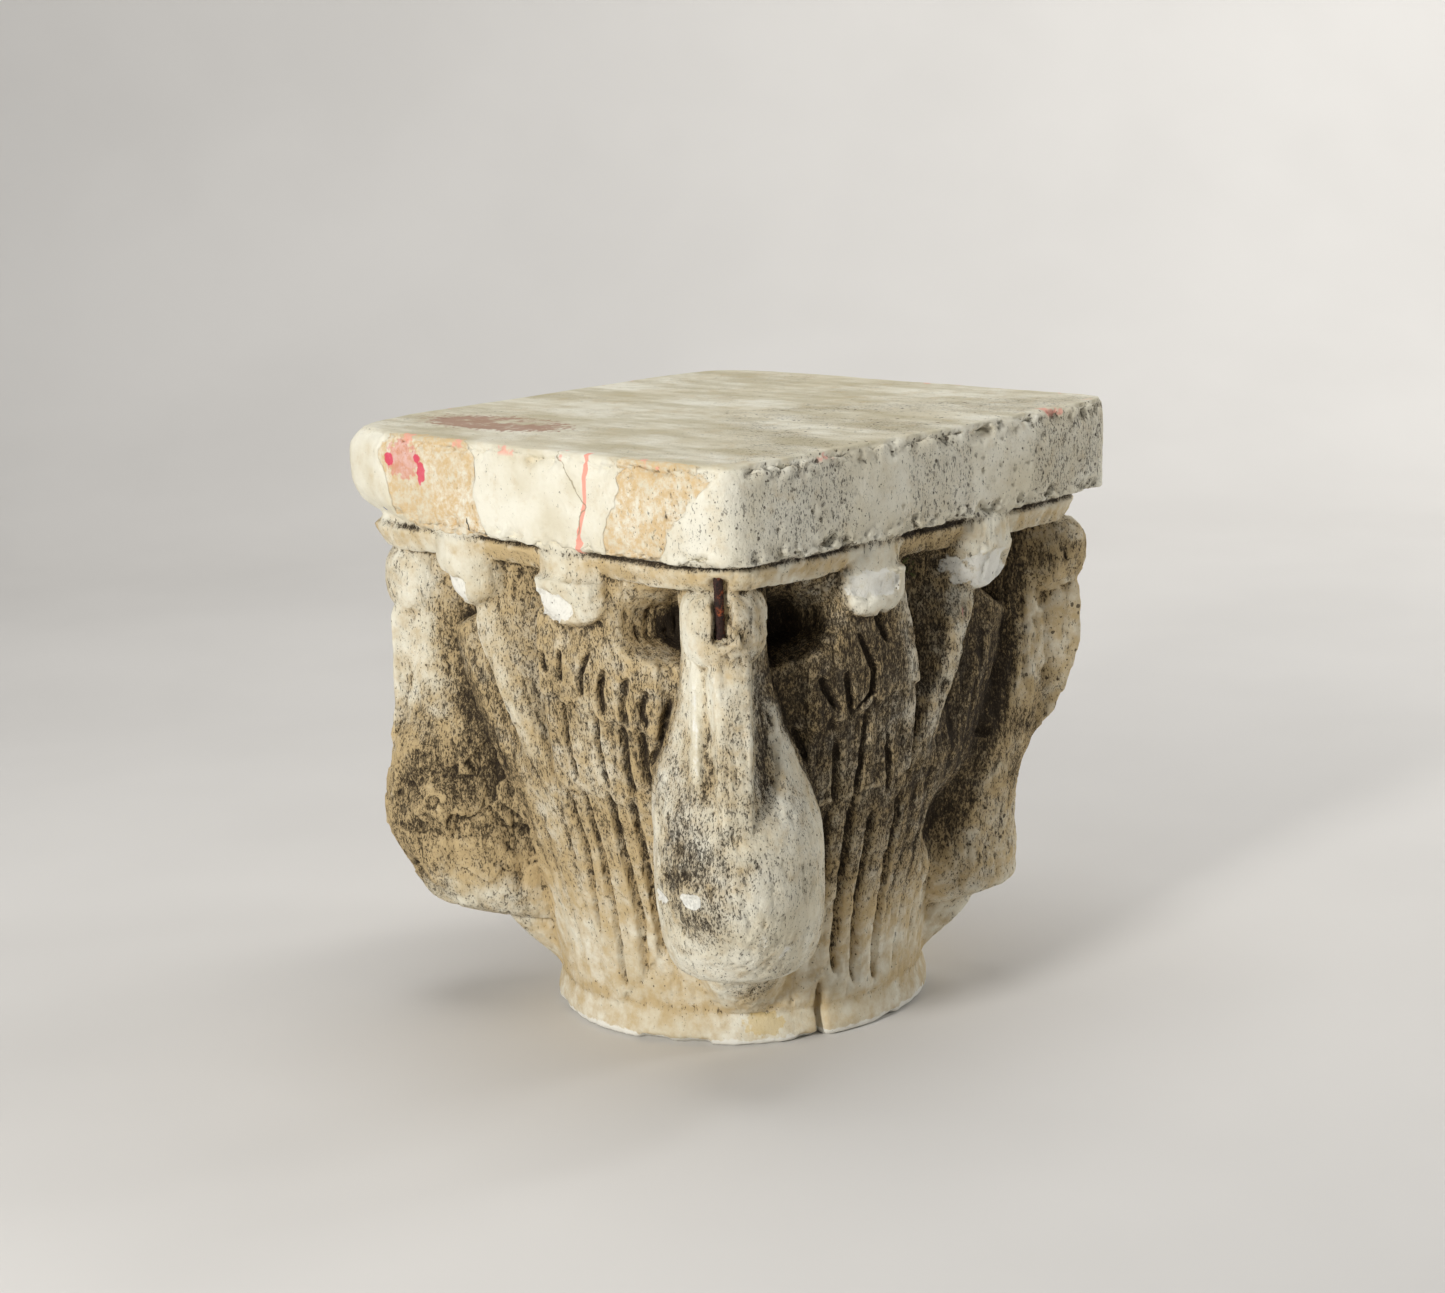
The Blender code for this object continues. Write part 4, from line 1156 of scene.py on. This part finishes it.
def spot_group():
    """A round or long spot at a place on a face, with a wavy edge."""
    tree, given, end = node_group("ShaderNodeTree", "spot", "Mask", {
        "Place": "Vector", "Middle": "Vector", "Size": "Vector", "Wave": "Float"})
    far = given["Place"]
    for operation, by in (("SUBTRACT", "Middle"), ("DIVIDE", "Size")):
        far = made(tree, "ShaderNodeVectorMath", {0: far, 1: given[by]}, operation=operation)
    far = made(tree, "ShaderNodeVectorMath", {0: far}, "Value", operation="LENGTH")
    far = far + (noise(given["Place"], 260.0, 2.0) - 0.5) * given["Wave"]
    tree.links.new((1.0 - between(far, 0.85, 1.05)).socket, end)
    return tree


RAGGED, SPECKS, SPOT = ragged_group(), speck_group(), spot_group()


def grouped(group, **inputs):
    """The mask that a group makes."""
    return made(inputs["Place"].tree, "ShaderNodeGroup", inputs, node_tree=group)


print("shader groups:", [tree.name for tree in (RAGGED, SPECKS, SPOT)])

# %% [markdown]
# ## Marks of paint
# The slab's left face has a pink drip with a crack beside it, crimson spots, a blue dot and a
# short black line. Its top has a reddish wash, and its edges have pink flecks. Below are some
# algae, a yellow patch on the ring and a scratch.

# %%
# Spots, and the marks on the slab
CRIMSON = linear(212, 52, 92)
PINK = linear(236, 164, 146)

# Middle, size, wave, strength and colour of each spot, and the noise that breaks some up
SPOTS = (
    ((-0.102, -0.178, 0.364), (0.016, 0.02, 0.012), 1.6, 0.35, CRIMSON, None),
    ((-0.115, -0.178, 0.364), (0.0045, 0.02, 0.0045), 0.9, 0.85, CRIMSON, None),
    ((-0.085, -0.178, 0.3575), (0.0040, 0.02, 0.0075), 0.9, 0.85, CRIMSON, None),
    ((-0.088, -0.178, 0.366), (0.003, 0.02, 0.003), 0.9, 0.85, CRIMSON, None),
    ((-0.132, -0.178, 0.330), (0.0013, 0.02, 0.0016), 0.3, 1.0, linear(60, 90, 150), None),
    ((-0.0435, -0.178, 0.3285), (0.0008, 0.02, 0.0052), 0.3, 1.0, linear(40, 40, 42), None),
    ((-0.088, -0.113, 0.380), (0.062, 0.026, 0.01), 1.3, 0.85, linear(166, 130, 110),
     (34.0, 4.0, 0.36, 0.50)),
    ((0.150, -0.004, 0.291), (0.030, 0.017, 0.009), 1.6, 0.75, linear(98, 118, 62),
     (190.0, 3.0, 0.42, 0.62)),
    ((0.0933, -0.0755, 0.0135), (0.013, 0.013, 0.008), 1.2, 0.55, linear(206, 178, 108), None),
    ((0.156, 0.036, 0.2625), (0.012, 0.0016, 0.0055), 0.6, 0.7, linear(205, 140, 138), None),
)


def paint_marks(place, colour):
    """The drip, the crack, the spots and the flecks, over a colour."""
    x, y, z = apart(place)
    on_face = between(y * -1.0, 0.168, 0.173)
    bend = between(z, 0.320, 0.356, 0.0545, 0.0640)
    width = 0.0006 + noise(place, 90.0, 1.0) * 0.0022
    drip = math_node("LESS_THAN", math_node("ABSOLUTE", x - bend), width)
    colour = blend(drip * (on_face * between(z, 0.3205, 0.3215)), colour, PINK)
    rising = math_node("MULTIPLY_ADD", z - 0.333, 0.45, 0.0560)
    falling = math_node("MULTIPLY_ADD", z - 0.350, -0.76, 0.0635)
    crack = math_node("MINIMUM", rising, falling) + (noise(place, 130.0, 2.0) - 0.5) * 0.007
    crack = 1.0 - between(math_node("ABSOLUTE", x - crack), 0.0002, 0.0011)
    crack = crack * on_face * between(z, 0.330, 0.336)
    colour = blend(crack * 0.75, colour, linear(150, 136, 108))
    for middle, size, wave, strength, paint, broken_up in SPOTS:
        spot = grouped(SPOT, Place=place, Middle=middle, Size=size, Wave=wave)
        if broken_up:
            scale, detail, low, high = broken_up
            spot = spot * between(noise(place, scale, detail, 0.7), low, high)
        colour = blend(spot * strength, colour, paint)
    most = math_node("MAXIMUM", math_node("ABSOLUTE", x), math_node("ABSOLUTE", y))
    on_edge = between(most, 0.168, 0.173) * between(z, 0.3735, 0.3765)
    fleck = between(noise(place, 42.0, 3.0, 0.6), 0.60, 0.64)
    return blend(on_edge * (fleck * 0.7), colour, PINK)


print("paint and stain spots:", len(SPOTS))

# %% [markdown]
# ## Old plaster
# From the bottom up: cream plaster, tan staining, ochre patches, brown soot with painted shade,
# soot specks, fresh white chips, pores, and the marks of paint.

# %%
# The plaster material
CREAM = linear(231, 227, 210)
PALE = linear(214, 206, 182)
STREAK = linear(180, 169, 136)
TAN = linear(194, 171, 128)
OCHRE = linear(208, 181, 137)
BROWN = linear(108, 90, 62)
# Near-black, for soot specks and for the painted shade in the deepest hollows
SHADE_AND_SOOT = linear(34, 26, 18)
WHITE = linear(234, 232, 222)
PORE = linear(58, 46, 32)


def plaster_colour(place):
    """The colour of old plaster, and where it is holed, speckled and patched."""
    tree = place.tree
    mask = {name: made(tree, "ShaderNodeAttribute", output="Fac", attribute_name=name) for name in MASKS}
    colour = blend(between(noise(place, 22.0, 4.0, 0.6), 0.35, 0.68), CREAM, PALE)
    on_top = between(apart(place)[2], 0.3768, 0.3788)
    streak = between(noise(place, 38.0, 4.0, 0.65, (0.35, 1.0, 1.0)), 0.36, 0.66)
    colour = blend(on_top * (streak * 0.7), colour, STREAK)
    stain = grouped(RAGGED, Place=place, Mask=mask["tan"], Scale=90.0, Raggedness=1.5, Softness=0.45)
    colour = blend(stain, colour, TAN)
    patch = grouped(RAGGED, Place=place, Mask=mask["ochre"], Scale=80.0, Raggedness=0.5, Softness=0.08)
    colour = blend(patch * between(noise(place, 190.0, 4.0, 0.7), 0.30, 0.66), colour, OCHRE)
    # Brown where the soot-and-shade mask is high: soot, and painted shade in hollows, cuts, under the
    # slab and on the side away from the key lamp
    colour = blend(between(mask["soot_and_shade"], 0.15, 1.0) * 0.62, colour, BROWN)
    specks = grouped(SPECKS, Place=place, Amount=mask["soot_and_shade"], Scale=980.0)
    colour = blend(specks * 0.82, colour, SHADE_AND_SOOT)
    smears = grouped(SPECKS, Place=place, Amount=mask["soot_and_shade"], Scale=360.0)
    colour = blend(smears * 0.60, colour, SHADE_AND_SOOT)
    # Near-black where the mask is highest: painted shade in the deepest hollows, with soot
    colour = blend(between(mask["soot_and_shade"], 0.80, 1.15) * 0.85, colour, SHADE_AND_SOOT)
    chip = grouped(RAGGED, Place=place, Mask=mask["fresh"], Scale=190.0, Raggedness=1.3, Softness=0.16)
    colour = blend(chip * 0.92, colour, WHITE)
    cells = add_node(tree, "ShaderNodeTexVoronoi", {"Vector": place, "Scale": 250.0, "Randomness": 1.0})
    chance = made(tree, "ShaderNodeSeparateColor", {0: Wire(cells.outputs["Color"])})
    size = math_node("POWER", chance, 4.0) * mask["pores"]
    size = size * math_node("MULTIPLY_ADD", noise(place, 42.0, 3.0, 0.7), 0.50, 0.15)
    warped = Wire(cells.outputs["Distance"]) + (noise(place, 700.0, 2.0) - 0.5) * 0.35
    holes = math_node("LESS_THAN", warped, size)
    colour = blend(holes * 0.80, colour, PORE)
    return paint_marks(place, colour), holes, specks, patch


def textured(material):
    """The surface shader of a material, and the place in space as a wire."""
    material.use_nodes = True
    tree = material.node_tree
    return tree.nodes["Principled BSDF"], made(tree, "ShaderNodeTexCoord", output="Object")


def connect(shader, wires):
    for name, wire in wires.items():
        wire.tree.links.new(wire.socket, shader.inputs[name])


def raised(height, strength, distance):
    """A normal from a height."""
    return made(height.tree, "ShaderNodeBump", {
        "Height": height, "Strength": strength, "Distance": distance})


def build_plaster(material):
    shader, place = textured(material)
    colour, holes, specks, patch = plaster_colour(place)
    shader.inputs["Specular IOR Level"].default_value = 0.25
    rough = made(place.tree, "ShaderNodeMapRange", {0: noise(place, 140.0, 3.0), 3: 0.80, 4: 0.97})
    grit = noise(place, 480.0, 4.0, 0.7, (1.0, 1.0, 0.6))
    height = grit * 0.5 + noise(place, 120.0, 3.0, 0.6)
    height = height - holes * 1.2 - specks * 0.35 - patch * 0.9
    connect(shader, {"Base Color": colour, "Roughness": rough, "Normal": raised(height, 0.8, 0.0012)})


build_plaster(plaster)
capital = bpy.data.objects.new("plaster_casting", worked)
bpy.context.scene.collection.objects.link(capital)
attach(capital, "root")
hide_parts("plaster_capital")
print("the plaster has", len(plaster.node_tree.nodes), "nodes")

# %% [markdown]
# ## The rusty wire
# A second tree grows the wire: a cylinder swollen by rust, with flakes scattered on it from a
# fixed seed.

# %%
# The wire and its rust
def wire_tree():
    tree, given, end = node_group("GeometryNodeTree", "rusty wire", "Geometry", {
        "Radius": "Float", "Length": "Float", "Flakes": "Float", "Seed": "Int", "Material": "Material"})
    stick = made(tree, "GeometryNodeMeshCylinder", {
        "Vertices": 32, "Side Segments": 60, "Fill Segments": 3, "Radius": given["Radius"],
        "Depth": given["Length"]})
    swell = (noise(made(tree, "GeometryNodeInputPosition"), 330.0, 3.0, 0.5) - 0.62) * 0.0016
    outwards = made(tree, "GeometryNodeInputNormal")
    push = made(tree, "ShaderNodeVectorMath", {0: outwards, "Scale": swell}, operation="SCALE")
    swollen = made(tree, "GeometryNodeSetPosition", {"Geometry": stick, "Offset": push})
    dots = add_node(tree, "GeometryNodeDistributePointsOnFaces", {
        "Mesh": swollen, "Density": given["Flakes"], "Seed": given["Seed"]})
    flake = made(tree, "GeometryNodeMeshIcoSphere", {"Radius": 0.0005, "Subdivisions": 2})
    size = made(tree, "FunctionNodeRandomValue", {
        0: (0.5, 0.5, 0.2), 1: (1.5, 1.5, 0.5), "Seed": given["Seed"]}, data_type="FLOAT_VECTOR")
    flakes = made(tree, "GeometryNodeInstanceOnPoints", {
        "Points": Wire(dots.outputs["Points"]), "Instance": flake,
        "Rotation": Wire(dots.outputs["Rotation"]), "Scale": size})
    both = tree.nodes.new("GeometryNodeJoinGeometry")
    for piece in (swollen, flakes):
        tree.links.new(piece.socket, both.inputs[0])
    return hand_out(Wire(both.outputs[0]), given["Material"], end)


def build_rust(material):
    shader, place = textured(material)
    bright = between(noise(place, 120.0, 4.0, 0.7), 0.50, 0.66)
    colour = blend(bright, linear(52, 30, 22), linear(164, 84, 46))
    colour = blend(between(noise(place, 380.0, 3.0, 0.7), 0.50, 0.62), colour, linear(30, 19, 15))
    shader.inputs["Roughness"].default_value = 0.85
    bumps = raised(noise(place, 900.0, 4.0, 0.7), 0.9, 0.0008)
    connect(shader, {"Base Color": colour, "Normal": bumps})


rust = bpy.data.materials.new("iron_rust")
build_rust(rust)
wire_mesh = grown("wire", wire_tree(), {
    "Radius": 0.5 * (rod_high[0] - rod_low[0]), "Length": ROD_HIGH - ROD_LOW, "Flakes": 900000.0,
    "Seed": 4, "Material": rust})
put_places(wire_mesh, places_of(wire_mesh) + np.array((ROD_X, ROD_Y, 0.5 * (ROD_LOW + ROD_HIGH))))
wire_mesh.shade_smooth()
wire = bpy.data.objects.new("rusty_wire", wire_mesh)
bpy.context.scene.collection.objects.link(wire)
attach(wire, "root")
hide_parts("iron_rod")
print("the wire has", len(wire_mesh.polygons), "faces")

# %% [markdown]
# ## Floor and light
# A pale sweep of card serves as floor and backdrop. A low lamp from the front left is the main
# light, a second one comes from the right, a broad soft one hangs above, and the last one
# lights the backdrop.

# %%
# The sweep
def sweep(half_width, near, far, radius, wall, steps):
    """A floor that curves up into a wall, as one strip."""
    line = [(near, 0.0), (far, 0.0)]
    for step in range(1, steps + 1):
        turn = 0.5 * math.pi * step / steps
        line.append((far + radius * math.sin(turn), radius * (1.0 - math.cos(turn))))
    line.append((far + radius, radius + wall))
    places = [in_picture(side * half_width, away, up) for away, up in line for side in (-1.0, 1.0)]
    faces = [(2 * i, 2 * i + 1, 2 * i + 3, 2 * i + 2) for i in range(len(line) - 1)]
    mesh = bpy.data.meshes.new("sweep")
    mesh.from_pydata(places, [], faces)
    mesh.shade_smooth()
    card = bpy.data.objects.new("sweep", mesh)
    bpy.context.scene.collection.objects.link(card)
    return card


card = sweep(half_width=5.0, near=-3.0, far=1.6, radius=1.2, wall=3.0, steps=24)
paper = bpy.data.materials.new("paper")
paper_shader, place = textured(paper)
paper_shader.inputs["Roughness"].default_value = 0.8
cloud = between(noise(place, 2.2, 3.0), 0.3, 0.7)
connect(paper_shader, {"Base Color": blend(cloud, linear(217, 214, 209), linear(212, 209, 204))})
card.data.materials.append(paper)


# %%
# The lamps
def add_lamp(name, place, aim, size, power, tint=(1.0, 1.0, 1.0)):
    lamp = bpy.data.objects.new(name, bpy.data.lights.new(name, "AREA"))
    bpy.context.scene.collection.objects.link(lamp)
    lamp.data.shape = "DISK"
    lamp.data.size = size
    lamp.data.energy = power
    lamp.data.color = tint
    turn = (aim - place).to_track_quat("-Z", "Y").to_matrix().to_4x4()
    lamp.matrix_world = Matrix.Translation(place) @ turn


middle = Vector((0.0, 0.0, 0.2))
add_lamp("key", in_picture(-1.45, -2.0, 1.00), middle, 0.42, 50.0, (1.0, 0.99, 0.975))
add_lamp("side", in_picture(2.3, 0.4, 0.80), middle, 0.5, 15.0)
add_lamp("above", in_picture(-0.2, 0.1, 3.2), middle, 2.2, 38.0)
add_lamp("backdrop", in_picture(1.8, 1.0, 2.4), in_picture(1.3, 3.0, 1.0), 1.0, 44.0)
world = bpy.data.worlds.new("studio")
world.use_nodes = True
background = world.node_tree.nodes["Background"]
background.inputs["Color"].default_value = (0.93, 0.95, 1.0, 1.0)
background.inputs["Strength"].default_value = 0.15
bpy.context.scene.world = world
bpy.context.scene.view_settings.view_transform = "Standard"
